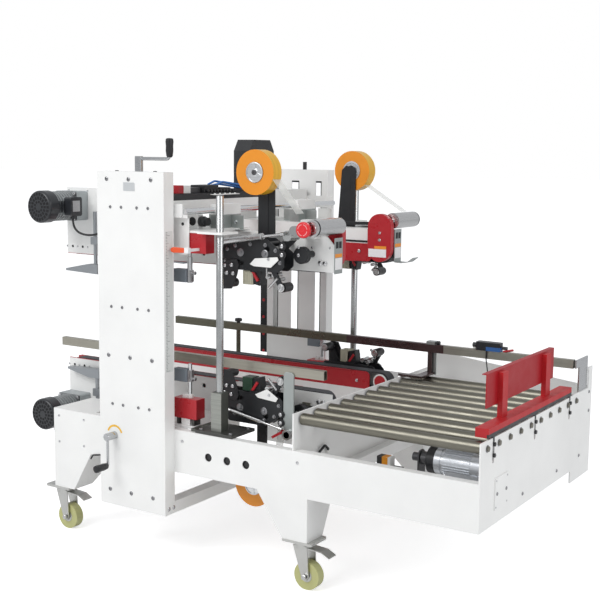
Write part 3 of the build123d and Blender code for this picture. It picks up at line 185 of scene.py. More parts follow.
# a zone is a box of the machine that gets another finish: along it, off its middle plane, and in height
zone_limits = {"Left": -9.0, "Right": 9.0, "Front": -9.0, "Rear": 9.0, "Inside": -9.0, "Outside": 9.0,
    "Low": -9.0, "High": 9.0}
zone, given, made = effect("zone", zone_limits, ("Mask",))
place = zone.nodes.new("ShaderNodeTexCoord")
split = zone.nodes.new("ShaderNodeSeparateXYZ")
zone.links.new(place.outputs["Object"], split.inputs[0])
off_middle = worked(zone, "ABSOLUTE", worked(zone, "SUBTRACT", split.outputs["Y"], 0.05), None)
mask = None
ways = ((split.outputs["X"], "Left", "Right"), (split.outputs["Y"], "Front", "Rear"))
for value, low, high in ways + ((off_middle, "Inside", "Outside"), (split.outputs["Z"], "Low", "High")):
    within = worked(zone, "MULTIPLY", worked(zone, "GREATER_THAN", value, given.outputs[low]),
        worked(zone, "LESS_THAN", value, given.outputs[high]))
    mask = within if mask is None else worked(zone, "MULTIPLY", mask, within)
zone.links.new(mask, made.inputs["Mask"])


def finish(name, skin, colour, metallic=0.0, bump=0.08, coat=0.0, zones=(), **values):
    material = bpy.data.materials.new(name)
    material.use_nodes = True
    nodes, links = material.node_tree.nodes, material.node_tree.links
    shader = nodes["Principled BSDF"]
    shader.inputs["Metallic"].default_value = metallic
    shader.inputs["Coat Weight"].default_value = coat
    group = nodes.new("ShaderNodeGroup")
    group.node_tree = skin
    group.inputs["Colour"].default_value = (*colour, 1)
    for label, value in values.items():
        group.inputs[label].default_value = value
    relief = nodes.new("ShaderNodeBump")
    relief.inputs["Strength"].default_value = bump
    relief.inputs["Distance"].default_value = 0.001
    links.new(group.outputs["Colour"], shader.inputs["Base Color"])
    links.new(group.outputs["Roughness"], shader.inputs["Roughness"])
    links.new(group.outputs["Height"], relief.inputs["Height"])
    links.new(relief.outputs[0], shader.inputs["Normal"])
    for limits, other, metal, gloss in zones:
        area = nodes.new("ShaderNodeGroup")
        area.node_tree = zone
        for label, value in limits.items():
            area.inputs[label].default_value = value
        changes = ((group.inputs["Colour"], (*other, 1)), (group.inputs["Gloss"], gloss),
            (shader.inputs["Metallic"], metal))
        for target, value in changes:
            coloured = isinstance(value, tuple)
            mix = nodes.new("ShaderNodeMix")
            mix.data_type = "RGBA" if coloured else "FLOAT"
            first, second, result = (6, 7, 2) if coloured else (2, 3, 0)
            if target.is_linked:
                links.new(target.links[0].from_socket, mix.inputs[first])
            else:
                kept = target.default_value
                mix.inputs[first].default_value = tuple(kept) if coloured else kept
            mix.inputs[second].default_value = value
            links.new(area.outputs["Mask"], mix.inputs[0])
            links.new(mix.outputs[result], target)
    return material


def dress(node, *materials):
    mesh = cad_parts[node].data
    mesh.materials.clear()
    for material in materials:
        mesh.materials.append(material)


# shapes are drawn into one mesh per piece: turned() sweeps a (radius, along) outline round an axis,
# board() gives a flat outline its thickness and rod() runs a round bar along corners with rounded bends
def turned(shape, outline, at, axis, steps=24):
    way = Vector(axis).normalized()
    side = way.orthogonal().normalized()
    other = way.cross(side)
    rings = []
    for radius, along in outline:
        centre = Vector(at) + way * along
        if radius < 1e-6:
            rings.append([shape.verts.new(centre)])
            continue
        angles = [2 * math.pi * i / steps for i in range(steps)]
        rings.append([shape.verts.new(centre + radius * (math.cos(a) * side + math.sin(a) * other))
            for a in angles])
    for first, second in zip(rings, rings[1:]):
        for i in range(steps):
            j = (i + 1) % steps
            if len(first) == 1:
                shape.faces.new((first[0], second[j], second[i]))
            elif len(second) == 1:
                shape.faces.new((first[i], first[j], second[0]))
            else:
                shape.faces.new((first[i], first[j], second[j], second[i]))
    for ring in (rings[0], rings[-1]):
        if len(ring) > 1:
            shape.faces.new(ring if ring is rings[-1] else ring[::-1])


def board(shape, outline, at, across, up, thick):
    a, b = Vector(across), Vector(up)
    out = a.cross(b).normalized() * thick
    low = [shape.verts.new(Vector(at) + a * p + b * q) for p, q in outline]
    high = [shape.verts.new(v.co + out) for v in low]
    shape.faces.new(low[::-1])
    shape.faces.new(high)
    for i in range(len(low)):
        j = (i + 1) % len(low)
        shape.faces.new((low[i], low[j], high[j], high[i]))


def block(shape, low, high):
    w, d, h = (high[i] - low[i] for i in range(3))
    board(shape, ((0, 0), (w, 0), (w, d), (0, d)), low, (1, 0, 0), (0, 1, 0), h)


def rod(shape, corners, radius, bend=0.01, steps=16):
    corners = [Vector(corner) for corner in corners]
    path = [corners[0]]
    for before, corner, after in zip(corners, corners[1:], corners[2:]):
        back, ahead = (before - corner).normalized(), (after - corner).normalized()
        half = back.angle(ahead) / 2
        centre = corner + (back + ahead).normalized() * (bend / math.sin(half))
        first, last = corner + back * (bend / math.tan(half)), corner + ahead * (bend / math.tan(half))
        for i in range(9):
            toward = (first - centre) * (1 - i / 8) + (last - centre) * (i / 8)
            path.append(centre + toward.normalized() * bend)
    path.append(corners[-1])
    ways = [(b - a).normalized() for a, b in zip(path, path[1:])]
    side = ways[0].orthogonal().normalized()
    rings = []
    for i, point in enumerate(path):
        way = (ways[max(i - 1, 0)] + ways[min(i, len(ways) - 1)]).normalized()
        side = (side - way * side.dot(way)).normalized()
        other = way.cross(side)
        angles = [2 * math.pi * k / steps for k in range(steps)]
        rings.append([shape.verts.new(point + radius * (math.cos(a) * side + math.sin(a) * other))
            for a in angles])
    for first, second in zip(rings, rings[1:]):
        for k in range(steps):
            shape.faces.new((first[k], first[(k + 1) % steps], second[(k + 1) % steps], second[k]))
    shape.faces.new(rings[0][::-1])
    shape.faces.new(rings[-1])


def show(name, shape, body, material, soften=0.0, smooth=False):
    bmesh.ops.recalc_face_normals(shape, faces=shape.faces)
    mesh = bpy.data.meshes.new(name)
    shape.to_mesh(mesh)
    shape.free()
    mesh.materials.append(material)
    if smooth:
        mesh.polygons.foreach_set("use_smooth", [True] * len(mesh.polygons))
        mesh.set_sharp_from_angle(angle=math.radians(35))
    piece = bpy.data.objects.new(name, mesh)
    bpy.context.scene.collection.objects.link(piece)
    if soften:
        rounding = piece.modifiers.new("rounding", "BEVEL")
        rounding.width = soften
        rounding.segments = 2
        rounding.limit_method = "ANGLE"
    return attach(piece, body)


def boxed(name, low, high, body, material, **looks):
    shape = bmesh.new()
    block(shape, low, high)
    show(name, shape, body, material, **looks)


def spun(name, body, outline, places, axis, steps, material, smooth=True):
    shape = bmesh.new()
    for place in places:
        turned(shape, outline, place, axis, steps)
    show(name, shape, body, material, smooth=smooth)


white = finish("white_coat", coat_skin, (0.87, 0.87, 0.855), Gloss=0.34)
dress("gate_columns", white)
screw_steel = finish("screw_steel", coat_skin, (0.62, 0.62, 0.63), metallic=1.0, Gloss=0.25)


def button_screws(name, body, places, axis, radius, material=screw_steel):
    outline = [(radius, 0.0), (radius, 0.0008), (radius * 0.8, 0.0022), (radius * 0.5, 0.0026)]
    outline += [(radius * 0.45, 0.0012), (0, 0.0012)]
    spun(name, body, outline, places, axis, 14, material)


column_face = -0.485
pin_steel = finish("pin_steel", coat_skin, (0.30, 0.30, 0.31), metallic=1.0, Gloss=0.30)
strip_rows = [(x, z) for z in (1.197, 0.86, 0.524) for x in (-0.423, -0.375, -0.307, -0.259)]
button_screws("column_screws", "frame", [(x, column_face, z) for x, z in strip_rows], (0, -1, 0), 0.0055,
    pin_steel)
corner_rows = [(x, z) for x in (-0.438, -0.342, -0.246) for z in (0.22, 0.692, 1.29)]
button_screws("column_corner_screws", "frame", [(x, column_face, z) for x, z in corner_rows], (0, -1, 0),
    0.0075, pin_steel)
button_screws("column_foot_screws", "frame", [(-0.192, y, 0.186) for y in (-0.466, -0.441, 0.554, 0.57)],
    (1, 0, 0), 0.0075)
black_coat = finish("black_coat", coat_skin, (0.010, 0.011, 0.013), Gloss=0.40)
dark_steel = finish("dark_steel", coat_skin, (0.10, 0.10, 0.105), metallic=0.6, Gloss=0.4)
button_screws("column_top_bolts", "frame", [(x, -0.46, 1.316) for x in (-0.414, -0.248)], (0, 0, 1), 0.007,
    dark_steel)
# the rear column's slots show black strips at their right edges, cut out like a T at the top: the guide
# strips behind, coloured black as painted shade of the column's inside
shape = bmesh.new()
edge_front, edge_back = 0.5352, 0.5392
for right_edge, wide in ((-0.4265, 0.0), (-0.327, 0.036), (-0.2205, 0.027)):
    block(shape, (right_edge - 0.0042, edge_front, 1.2135), (right_edge - 0.0006, edge_back, 1.268))
    block(shape, (right_edge - 0.0042, edge_front, 0.66), (right_edge - 0.0006, edge_back, 1.166))
    if wide:
        block(shape, (right_edge - wide, edge_front, 1.2645), (right_edge - 0.0006, edge_back, 1.2715))
show("guide_strips_in_shade", shape, "frame", black_coat)
red = finish("red_coat", coat_skin, (0.45, 0.018, 0.026), Gloss=0.30)
boxed("column_side_strip", (-0.5165, 0.5365, 0.547), (-0.4822, 0.5495, 0.888), "frame", black_coat,
    soften=0.001)
spun("side_strip_dots", "frame", [(0.0065, 0), (0.0065, 0.001), (0.0055, 0.002), (0, 0.002)],
    [(-0.5, 0.5365, 0.841 - 0.072 * i) for i in range(5)], (0, -1, 0), 16, red)

# the height rule: a pale glued strip with printed strokes every 5 mm
rule_paper = finish("rule_strip", coat_skin, (0.74, 0.76, 0.74), Gloss=0.5)
ink = finish("rule_strokes", coat_skin, (0.09, 0.10, 0.11), Gloss=0.6)
boxed("height_rule", (-0.1921, -0.4775, 0.656), (-0.1913, -0.4425, 1.124), "frame", rule_paper)
shape = bmesh.new()
for i in range(93):
    long = 0.020 if i % 10 == 0 else (0.014 if i % 5 == 0 else 0.008)
    stroke = ((0, 0), (long, 0), (long, 0.0009), (0, 0.0009))
    board(shape, stroke, (-0.1912, -0.4765, 0.66 + i * 0.005), (0, 1, 0), (0, 0, 1), 0.0002)
show("height_rule_strokes", shape, "frame", ink)
badge = finish("bare_badge", coat_skin, (0.66, 0.68, 0.69), metallic=0.5, Gloss=0.35)
boxed("column_badge", (-0.364, -0.4862, 1.252), (-0.315, -0.485, 1.28), "frame", badge, soften=0.0004)
yellow = finish("yellow_mark", coat_skin, (0.86, 0.50, 0.04), Gloss=0.4)


def arc(radius, degrees):
    return [(radius * math.cos(math.radians(a)), radius * math.sin(math.radians(a))) for a in degrees]


shape = bmesh.new()
board(shape, arc(0.036, range(20, 161, 14)) + arc(0.029, range(160, 19, -14)), (-0.414, -0.4851, 0.415),
    (1, 0, 0), (0, 0, 1), 0.0003)
show("crank_turn_mark", shape, "frame", yellow)


# Base frame, ties and legs: folded channels and tubes with welded leg boxes, all coated white.
# Button screws show where the covers of the leg boxes are fixed; rubber grommets close the cable holes.
for node in ("base_frame", "cross_ties", "base_legs"):
    dress(node, white)
channel_front, channel_rear = -0.435, 0.535
box_rows = [(x, z) for x in (-0.728, -0.607) for z in (0.43, 0.334)]
button_screws("leg_cover_screws", "frame", [(x, channel_front, z) for x, z in box_rows], (0, -1, 0), 0.0045)
button_screws("channel_screws", "frame", [(x, channel_front, 0.42) for x in (-0.159, 0.30)], (0, -1, 0),
    0.0055)
button_screws("channel_rear_screws", "frame",
    [(x, channel_rear, 0.42) for x in (-0.728, -0.159, 0.3, 0.86)], (0, 1, 0), 0.0055)
rubber_skin = skin("rubber_skin", dict(scale=40.0, detail=4.0, low=0.75, high=1.3),
    dict(scale=60.0, detail=3.0, low=-0.08, high=0.08), dict(scale=300.0, detail=3.0, stretch=(1, 0.2, 1)))
cable_rubber = finish("cable_rubber", rubber_skin, (0.02, 0.02, 0.021), bump=0.1, Gloss=0.5)
spun("cable_grommets", "frame", [(0.0137, 0), (0.0137, 0.003), (0.0115, 0.0045), (0.011, 0.001),
    (0, 0.001)], [(x, -0.4295, 0.381) for x in (-0.05, 0.026, 0.102)], (0, -1, 0), 32, cable_rubber)
# a black rod round the corner where the leg box's slanted edge meets the channel's lower edge: painted
# shade of the dark opening there
shape = bmesh.new()
rod(shape, ((-0.573, -0.4375, 0.294), (-0.563, -0.4375, 0.309), (-0.528, -0.4375, 0.315)), 0.003, 0.012, 10)
show("leg_corner_shade", shape, "frame", cable_rubber, smooth=True)


# Table end panel, left plate and rear panel: laser-cut 5 mm sheet, coated white, bolted to the channels.
# A small cover with two turn latches closes the wiring opening; an elbow leads the wires out.
for node in ("end_panel", "table_plate", "rear_panel", "access_cover"):
    dress(node, white)
panel_face, cover_face = 0.915, 0.919
panel_rows = [(0.505, 0.559), (0.508, 0.491), (0.422, 0.347), (-0.103, 0.345), (0.2, 0.345)]
button_screws("panel_screws", "frame", [(panel_face, y, z) for y, z in panel_rows], (1, 0, 0), 0.006,
    pin_steel)
black_plastic = finish("black_plastic", coat_skin, (0.012, 0.012, 0.014), Gloss=0.40)
spun("cover_latches", "frame", [(0.0055, 0), (0.0055, 0.0012), (0.0045, 0.002), (0, 0.002)],
    [(cover_face, y, 0.4) for y in (-0.317, -0.247)], (1, 0, 0), 20, pin_steel)
spun("cover_screws", "frame", [(0.003, 0), (0.0028, 0.0012), (0, 0.0016)],
    [(cover_face, y, z) for y in (-0.323, -0.241) for z in (0.36, 0.44)], (1, 0, 0), 12, screw_steel)
shape = bmesh.new()
rod(shape, ((0.2855, -0.29, 0.412), (0.293, -0.288, 0.424), (0.293, -0.258, 0.437), (0.293, -0.236, 0.42),
    (0.2855, -0.234, 0.412)), 0.0042, 0.006, 12)
show("plate_elbow", shape, "frame", cable_rubber, smooth=True)
white_plastic = finish("white_plastic", coat_skin, (0.86, 0.86, 0.84), Gloss=0.3)
spun("elbow_nut", "frame", [(0.009, 0), (0.009, 0.005), (0.0065, 0.008), (0, 0.008)],
    [(0.2852, -0.232, 0.412)], (1, 0, 0), 16, white_plastic)


# Table rollers: zinc-plated steel tubes with an olive passivation, turning on axles that are
# screwed into both plates; a dark seam shows where each bearing cap is pressed in.
drawn_metal = skin("drawn_metal", dict(scale=6.0, detail=5.0, stretch=(1, 70, 70), low=0.86, high=1.08),
    dict(scale=9.0, detail=4.0, low=-0.07, high=0.10), dict(scale=8.0, detail=5.0, stretch=(1, 90, 90)))
zinc_tube = finish("zinc_rollers", drawn_metal, (0.215, 0.205, 0.170), metallic=1.0, Gloss=0.34)
dress("table_rollers", zinc_tube)
roller_z = 0.551
roller_ys = [-0.391 + 0.0846 * i for i in range(10)]
shape = bmesh.new()
cap = [(0.0185, 0.0002), (0.0165, 0.0008), (0.016, 0.0003), (0.0085, 0.0003), (0.008, 0.0012), (0, 0.0012)]
for y in roller_ys:
    for x, way in ((0.291, -1), (0.899, 1)):
        turned(shape, cap, (x, y, roller_z), (way, 0, 0), 24)
show("roller_caps", shape, "frame", dark_steel, smooth=True)
shape = bmesh.new()
for y in roller_ys:
    turned(shape, [(0.0110, 0), (0.0110, 0.0014), (0.0085, 0.0016)], (panel_face, y, roller_z), (1, 0, 0),
        24)
    nut = [(0.0082, 0.0016), (0.0082, 0.0054), (0.0072, 0.0059), (0.0042, 0.0059), (0.004, 0.003),
        (0, 0.003)]
    turned(shape, nut, (panel_face, y, roller_z), (1, 0, 0), 6)
show("roller_bolts", shape, "frame", pin_steel, smooth=True)


# Table drive motor: a ribbed aluminium body with a black seal band, its shaft in a plate on the third
# tie; beside it stands a small sensor cube on an angle.
cast_alloy = finish("cast_alloy", coat_skin, (0.62, 0.64, 0.67), metallic=0.75, Gloss=0.36)
dress("table_motor", cast_alloy)
motor_y, motor_z = -0.315, 0.47
spun("table_motor_band", "frame", [(0, -0.012), (0.030, -0.012), (0.0408, -0.006), (0.0412, 0.004),
    (0.0412, 0.018), (0.0404, 0.019), (0, 0.019)], [(0.7095, motor_y, motor_z)], (1, 0, 0), 40,
    black_plastic)
shape = bmesh.new()
for i in range(30):
    a = 2 * math.pi * i / 30
    out, along = Vector((0, math.cos(a), math.sin(a))), Vector((0, -math.sin(a), math.cos(a)))
    board(shape, ((-0.0012, 0.037), (0.0012, 0.037), (0.0009, 0.0408), (-0.0009, 0.0408)),
        Vector((0.756, motor_y, motor_z)), along, out, -0.088)
show("table_motor_ribs", shape, "frame", cast_alloy)
shape = bmesh.new()
turned(shape, [(0, 0), (0.013, 0), (0.013, 0.03), (0.020, 0.031), (0.020, 0.052), (0, 0.052)],
    (0.645, motor_y, motor_z), (1, 0, 0), 24)
board(shape, ((-0.022, -0.114), (0.022, -0.114), (0.022, 0.014), (0.010, 0.024), (-0.010, 0.024),
    (-0.022, 0.014)), (0.668, motor_y, motor_z), (0, 1, 0), (0, 0, 1), 0.005)
show("table_motor_shaft", shape, "frame", dark_steel, smooth=True)
sensor_finish = finish("sensor_cube", coat_skin, (0.03, 0.03, 0.032), Gloss=0.4, zones=(
    ({"Left": 0.540, "Right": 0.560, "Low": 0.4240}, (0.80, 0.30, 0.02), 0.0, 0.35),
    ({"Left": 0.560}, (0.80, 0.80, 0.78), 0.0, 0.35)))
boxed("sensor_cube", (0.522, -0.325, 0.423), (0.570, -0.295, 0.454), "frame", sensor_finish, soften=0.0012)
shape = bmesh.new()
board(shape, ((-0.330, 0.345), (-0.296, 0.345), (-0.296, 0.4228), (-0.330, 0.4228)), (0.548, 0, 0),
    (0, 1, 0), (0, 0, 1), 0.003)
board(shape, ((0.515, -0.42), (0.60, -0.42), (0.60, -0.29), (0.515, -0.29)), (0, 0, 0.4195), (1, 0, 0),
    (0, 1, 0), 0.003)
show("sensor_angle", shape, "frame", dark_steel, soften=0.0005)


# Fence: a plate and two posts welded to a square tube and coated red; its tongues slide in the open
# slots of the end panel, where black clamp screws hold them.
# the frame is black at the end panel below z 0.59: its black clamp screws, and painted shade of the slots
# over the tongues there
dress("fence_frame", finish("fence_coats_and_slot_shade", coat_skin, (0.46, 0.008, 0.012), Gloss=0.46, zones=(
    ({"Left": 0.9095, "High": 0.590}, (0.02, 0.02, 0.022), 0.0, 0.4),)))
dress("fence_plate", finish("fence_red", coat_skin, (0.36, 0.004, 0.010), Gloss=0.46))
orange = finish("orange_strip", coat_skin, (0.85, 0.30, 0.03), Gloss=0.4)
label_white = finish("bare_label", coat_skin, (0.86, 0.86, 0.86), Gloss=0.4)
boxed("fence_label", (0.8713, -0.036, 0.655), (0.8719, -0.010, 0.694), "fence", label_white)
boxed("fence_label_top", (0.8713, -0.036, 0.694), (0.8719, -0.010, 0.712), "fence", orange)


# Cranks and screws: turned steel spindles, chromed, with a bent round arm and a black grip that spins
# on its pin. The rear lift screw ends in a blackened stub.
chrome = finish("chrome_bar", drawn_metal, (0.78, 0.79, 0.80), metallic=1.0, bump=0.03, Gloss=0.10)
for node in ("lower_shafts", "upper_shafts"):
    dress(node, chrome)
dress("rear_lift_screw", finish("lift_screw", drawn_metal, (0.40, 0.40, 0.41), metallic=1.0, Gloss=0.3,
    zones=(({"Low": 1.3161}, (0.02, 0.02, 0.022), 0.0, 0.4),)))
lift_x, lift_y, lift_grip_x = -0.317, -0.46, -0.187
side_x, side_z, side_grip_z = -0.414, 0.415, 0.315
crank_steel = finish("crank_steel", drawn_metal, (0.50, 0.51, 0.52), metallic=1.0, bump=0.03, Gloss=0.16)
grip = [(0.0, -0.001), (0.0075, -0.001), (0.0105, 0.004), (0.0125, 0.02), (0.0120, 0.036), (0.0132, 0.05),
    (0.0120, 0.0585), (0.008, 0.0605), (0, 0.061)]


def thread(low, high):
    rings = []
    turns = int((high - low) / 0.004)
    for i in range(turns):
        rings += [(0.0068, low + 0.004 * i), (0.008, low + 0.004 * i + 0.002)]
    return rings + [(0.0068, high)]


shape = bmesh.new()
turned(shape, [(0, 0)] + thread(0.0, 0.716) + [(0, 0.7165)], (lift_x, lift_y, 0.596), (0, 0, 1), 16)
turned(shape, [(0, 0), (0.0128, 0), (0.0137, 0.001), (0.0137, 0.049), (0.0125, 0.050), (0, 0.050)],
    (lift_x, lift_y, 1.3164), (0, 0, 1), 32)
rod(shape, ((lift_x, lift_y, 1.3585), (lift_grip_x, lift_y, 1.3585), (lift_grip_x, lift_y, 1.385)), 0.0058,
    0.014)
bar = show("height_crank_bar", shape, "height_crank", crank_steel, smooth=True)
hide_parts("height_crank")
spun("height_crank_grip", "height_crank", grip, [(lift_grip_x, lift_y, 1.3645)], (0, 0, 1), 28,
    black_plastic)
shape = bmesh.new()
turned(shape, [(0, 0)] + thread(0.0, 1.005) + [(0, 1.0055)], (side_x, 0.524, side_z), (0, -1, 0), 16)
turned(shape, [(0, 0), (0.013, 0), (0.013, 0.043), (0.012, 0.0445), (0, 0.0445)],
    (side_x, -0.4855, side_z), (0, -1, 0), 32)
rod(shape, ((side_x, -0.517, side_z), (side_x, -0.522, 0.404), (side_x, -0.522, side_grip_z),
    (side_x, -0.548, side_grip_z)), 0.0046, 0.004)
bar = show("width_crank_bar", shape, "width_crank", crank_steel, smooth=True)
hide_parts("width_crank")
spun("width_crank_grip", "width_crank", [(r, a * 0.96) for r, a in grip],
    [(side_x, -0.526, side_grip_z)], (0, -1, 0), 28, black_plastic)


# Lifting head: a white square beam with a black strip and the hood of the air unit on top, carried by
# guide plates that run in the column slots. Black manifolds, a red and a white valve and formed blue
# air pipes are screwed to the strip.
dress("cross_beam", finish("beam_coat", coat_skin, (0.87, 0.87, 0.855), Gloss=0.34, zones=(
    ({"Low": 1.2165, "Rear": 0.292}, (0.020, 0.021, 0.023), 0.0, 0.38),)))
dress("head_carriages", white)
shape = bmesh.new()
for y in (-0.4285, 0.5215):
    block(shape, (-0.1945, y, 1.1675), (-0.162, y + 0.007, 1.2125))
show("carriage_ends", shape, "head", white, soften=0.0008)
# near-black discs and strips for the holes and slots of several pieces: painted shade of their insides
dark = finish("painted_opening_shade", coat_skin, (0.02, 0.02, 0.022), Gloss=0.7)
spun("carriage_hole_shade", "head", [(0.0045, 0), (0.0045, 0.0006), (0, 0.0006)],
    [(-0.31, 0.5205, z) for z in (1.182, 1.198)], (0, -1, 0), 16, dark, smooth=False)
shape = bmesh.new()
for y0, y1, high in ((-0.144, -0.062, 1.266), (-0.052, 0.012, 1.256), (0.024, 0.085, 1.250)):
    block(shape, (-0.352, y0, 1.2392), (-0.288, y1, high))
show("air_manifolds", shape, "head", black_plastic, soften=0.002)
spun("air_fittings", "head", [(0.0045, 0), (0.0045, 0.005), (0.0055, 0.006), (0.0055, 0.010), (0, 0.011)],
    [(-0.2885, -0.132 + 0.0185 * i, 1.245) for i in range(8)], (1, 0, 0.15), 14, black_plastic)
shape = bmesh.new()
block(shape, (-0.2818, -0.121, 1.2315), (-0.258, 0.026, 1.2342))
for i in range(5):
    turned(shape, [(0.003, 0), (0.003, 0.003), (0, 0.0035)], (-0.268, -0.11 + 0.03 * i, 1.2342), (0, 0, 1),
        10)
show("air_tray", shape, "head", white_plastic, soften=0.0005)
blue = finish("blue_plastic", coat_skin, (0.03, 0.16, 0.48), Gloss=0.3, coat=0.3)
shape = bmesh.new()
for x, lift in ((-0.338, 0.014), (-0.322, 0.004), (-0.304, 0.012)):
    rod(shape, ((x, -0.058, 1.262 + lift * 0.3), (x, -0.02, 1.264 + lift), (x + 0.008, 0.06, 1.254 + lift),
        (x + 0.004, 0.126, 1.246 + lift)), 0.004, 0.03, 12)
show("air_pipes", shape, "head", blue, smooth=True)
boxed("head_red_valve", (-0.345, -0.276, 1.2392), (-0.300, -0.247, 1.267), "head", red, soften=0.001)
boxed("head_white_valve", (-0.345, -0.246, 1.2392), (-0.300, -0.208, 1.266), "head", white_plastic,
    soften=0.001)
boxed("head_valve_foot", (-0.345, -0.206, 1.2392), (-0.305, -0.146, 1.258), "head", dark_steel,
    soften=0.001)


# Belt units: white drive plate and channel with a dark red inner plate and cover, a ribbed black belt
# round two drums, grey infeed fingers. The paint changes at the inner plate.
red_tint, finger_grey = (0.45, 0.018, 0.026), (0.36, 0.38, 0.40)
unit_coats = finish("unit_coats", coat_skin, (0.87, 0.87, 0.855), Gloss=0.34, zones=(
    ({"Outside": 0.1852, "Low": 0.523, "High": 1.060}, red_tint, 0.0, 0.30),
    ({"Outside": 0.1806, "Left": 0.165}, red_tint, 0.0, 0.30),
    ({"Inside": 0.2354}, finger_grey, 0.7, 0.35)))
belt_rubber = finish("belt_rubber", rubber_skin, (0.035, 0.037, 0.042), bump=0.3, Gloss=0.55)
lower_units, upper_units = ("lower_front", "lower_rear"), ("upper_front", "upper_rear")
units = lower_units + upper_units
# front and rear, and lower and upper units mirror each other: two matching y, or z, add up to these
flip_y, flip_z = 0.1, 1.583
unit_face, channel_face, belt_edge_z = -0.185, -0.130, 0.588
drum_x, drum_z = 0.228, 0.557
for unit in units:
    dress(unit + "_housing", unit_coats)
    dress(unit + "_belt", belt_rubber)


def show_in(unit, name, shape, material, **looks):
    """A shape drawn for the lower front unit, turned over for the upper and rear ones."""
    for vertex in shape.verts:
        x, y, z = vertex.co
        vertex.co = (x, flip_y - y if "rear" in unit else y, flip_z - z if "upper" in unit else z)
    show(unit + "_" + name, shape, unit, material, **looks)


def boxed_in(unit, name, low, high, material, **looks):
    shape = bmesh.new()
    block(shape, low, high)
    show_in(unit, name, shape, material, **looks)


def spun_in(unit, name, outline, places, axis, steps, material, smooth=True):
    shape = bmesh.new()
    for place in places:
        turned(shape, outline, place, axis, steps)
    show_in(unit, name, shape, material, smooth=smooth)


for unit in units:
    shape = bmesh.new()
    screws = [(-0.918 + 0.0525 * i, 0.562) for i in range(3)] + [(-0.905, 0.35), (-0.81, 0.35),
        (-0.73, 0.37)]
    for x, z in screws + [(0.189, 0.5085), (0.258, 0.5075), (0.07, 0.5), (-0.13, 0.5), (-0.33, 0.5)]:
        turned(shape, [(0.0042, 0), (0.0042, 0.0006), (0.003, 0.0018), (0, 0.002)], (x, unit_face, z),
            (0, -1, 0), 12)
    for x in (0.223, 0.241):
        turned(shape, [(0.0085, 0), (0.0085, 0.005), (0.0075, 0.0056), (0, 0.0056)], (x, unit_face, 0.559),
            (0, -1, 0), 6)
    for x in (0.132, -0.08, -0.38, -0.68):
        turned(shape, [(0.0062, 0), (0.0062, 0.0042), (0.0052, 0.0048), (0, 0.0048)],
            (x, channel_face, 0.552), (0, 1, 0), 6)
    show_in(unit, "unit_screws", shape, screw_steel, smooth=True)
    # dark discs on the unit plates: painted shade inside their holes
    holes = ((-0.890, 0.562), (-0.839, 0.562), (-0.260, 0.557), (-0.40, 0.557))
    spun_in(unit, "unit_hole_shade", [(0.0048, 0), (0.0048, 0.0005), (0, 0.0005)],
        [(x, unit_face, z) for x, z in holes], (0, -1, 0), 16, dark, smooth=False)
    shape = bmesh.new()
    board(shape, ((-0.91, 0.0005), (0.12, 0.0005), (0.12, 0.006), (-0.91, 0.006)),
        (0, -0.1302, belt_edge_z), (1, 0, 0), (0, 1, 0), 0.0012)
    board(shape, ((-0.916, 0.0), (-0.11, 0.0), (-0.11, 0.006), (-0.916, 0.006)), (0, -0.1862, belt_edge_z),
        (1, 0, 0), (0, 1, 0), 0.0012)
    show_in(unit, "edge_trim", shape, red, soften=0.0004)
bearing_white = finish("bearing_disc", coat_skin, (0.80, 0.80, 0.78), Gloss=0.4)
for unit in lower_units:
    spun_in(unit, "bearing_disc", [(0.0, 0.0), (0.0285, 0.0), (0.0285, 0.0014), (0.027, 0.0018),
        (0.0, 0.0018)], [(drum_x, -0.1308, drum_z)], (0, 1, 0), 36, bearing_white)
    spun_in(unit, "bearing_mark", [(0.0228, 0.0), (0.0228, 0.0008), (0.004, 0.0012), (0, 0.0012)],
        [(drum_x, -0.129, drum_z)], (0, 1, 0), 36, red, smooth=False)
galvanised = finish("galvanised", coat_skin, (0.42, 0.45, 0.44), metallic=0.8, Gloss=0.38)
# galvanised end plate of each upper unit with two bare stickers, and the rear one's lead-out tongue
for unit in upper_units:
    top = 1.108 if unit == "upper_front" else 1.116
    low = top - 0.118
    boxed_in(unit, "end_plate", (0.2732, -0.1838, flip_z - top), (0.2748, -0.1322, flip_z - low),
        galvanised, soften=0.0004)
    # two dark strips on each end plate: painted shade inside its slots
    shape = bmesh.new()
    for y in (-0.176, -0.156):
        block(shape, (0.2748, y, flip_z - top + 0.012), (0.2752, y + 0.016, flip_z - top + 0.034))
    show_in(unit, "end_plate_slot_shade", shape, dark)
    boxed_in(unit, "end_sticker_top", (0.2748, -0.180, flip_z - low - 0.066),
        (0.2752, -0.136, flip_z - low - 0.054), orange)
    boxed_in(unit, "end_sticker", (0.2748, -0.180, flip_z - low - 0.052),
        (0.2752, -0.136, flip_z - low - 0.014), label_white)


def plate(shape, outline, face_y, thick):
    """A flat outline in x and z, from the given y towards the front."""
    board(shape, outline, (0, face_y, 0), (1, 0, 0), (0, 0, 1), thick)


def plated_in(unit, name, outline, face_y, thick, material, **looks):
    shape = bmesh.new()
    plate(shape, outline, face_y, thick)
    show_in(unit, name, shape, material, **looks)


shape = bmesh.new()
tongue = [(0.2755, 0.997), (0.300, 0.996), (0.325, 1.000), (0.347, 1.016)]
plate(shape, tongue + [(x - 0.0006, z + 0.002) for x, z in tongue[::-1]], 0.279, 0.044)
show("upper_rear_tongue", shape, "upper_rear", galvanised, smooth=True)
boxed("cover_label", (0.182, 0.2072, 1.015), (0.254, 0.208, 1.044), "upper_rear", label_white)
boxed("cover_label_top", (0.206, 0.2072, 1.0445), (0.254, 0.208, 1.055), "upper_rear", orange)
for unit in upper_units:
    spun_in(unit, "cover_screws", [(0.0058, 0), (0.0058, 0.001), (0.0045, 0.0028), (0.0025, 0.003),
        (0.0025, 0.001), (0, 0.001)], [(0.226, -0.108, flip_z - z) for z in (1.102, 1.077)], (0, 1, 0), 14,
        screw_steel)


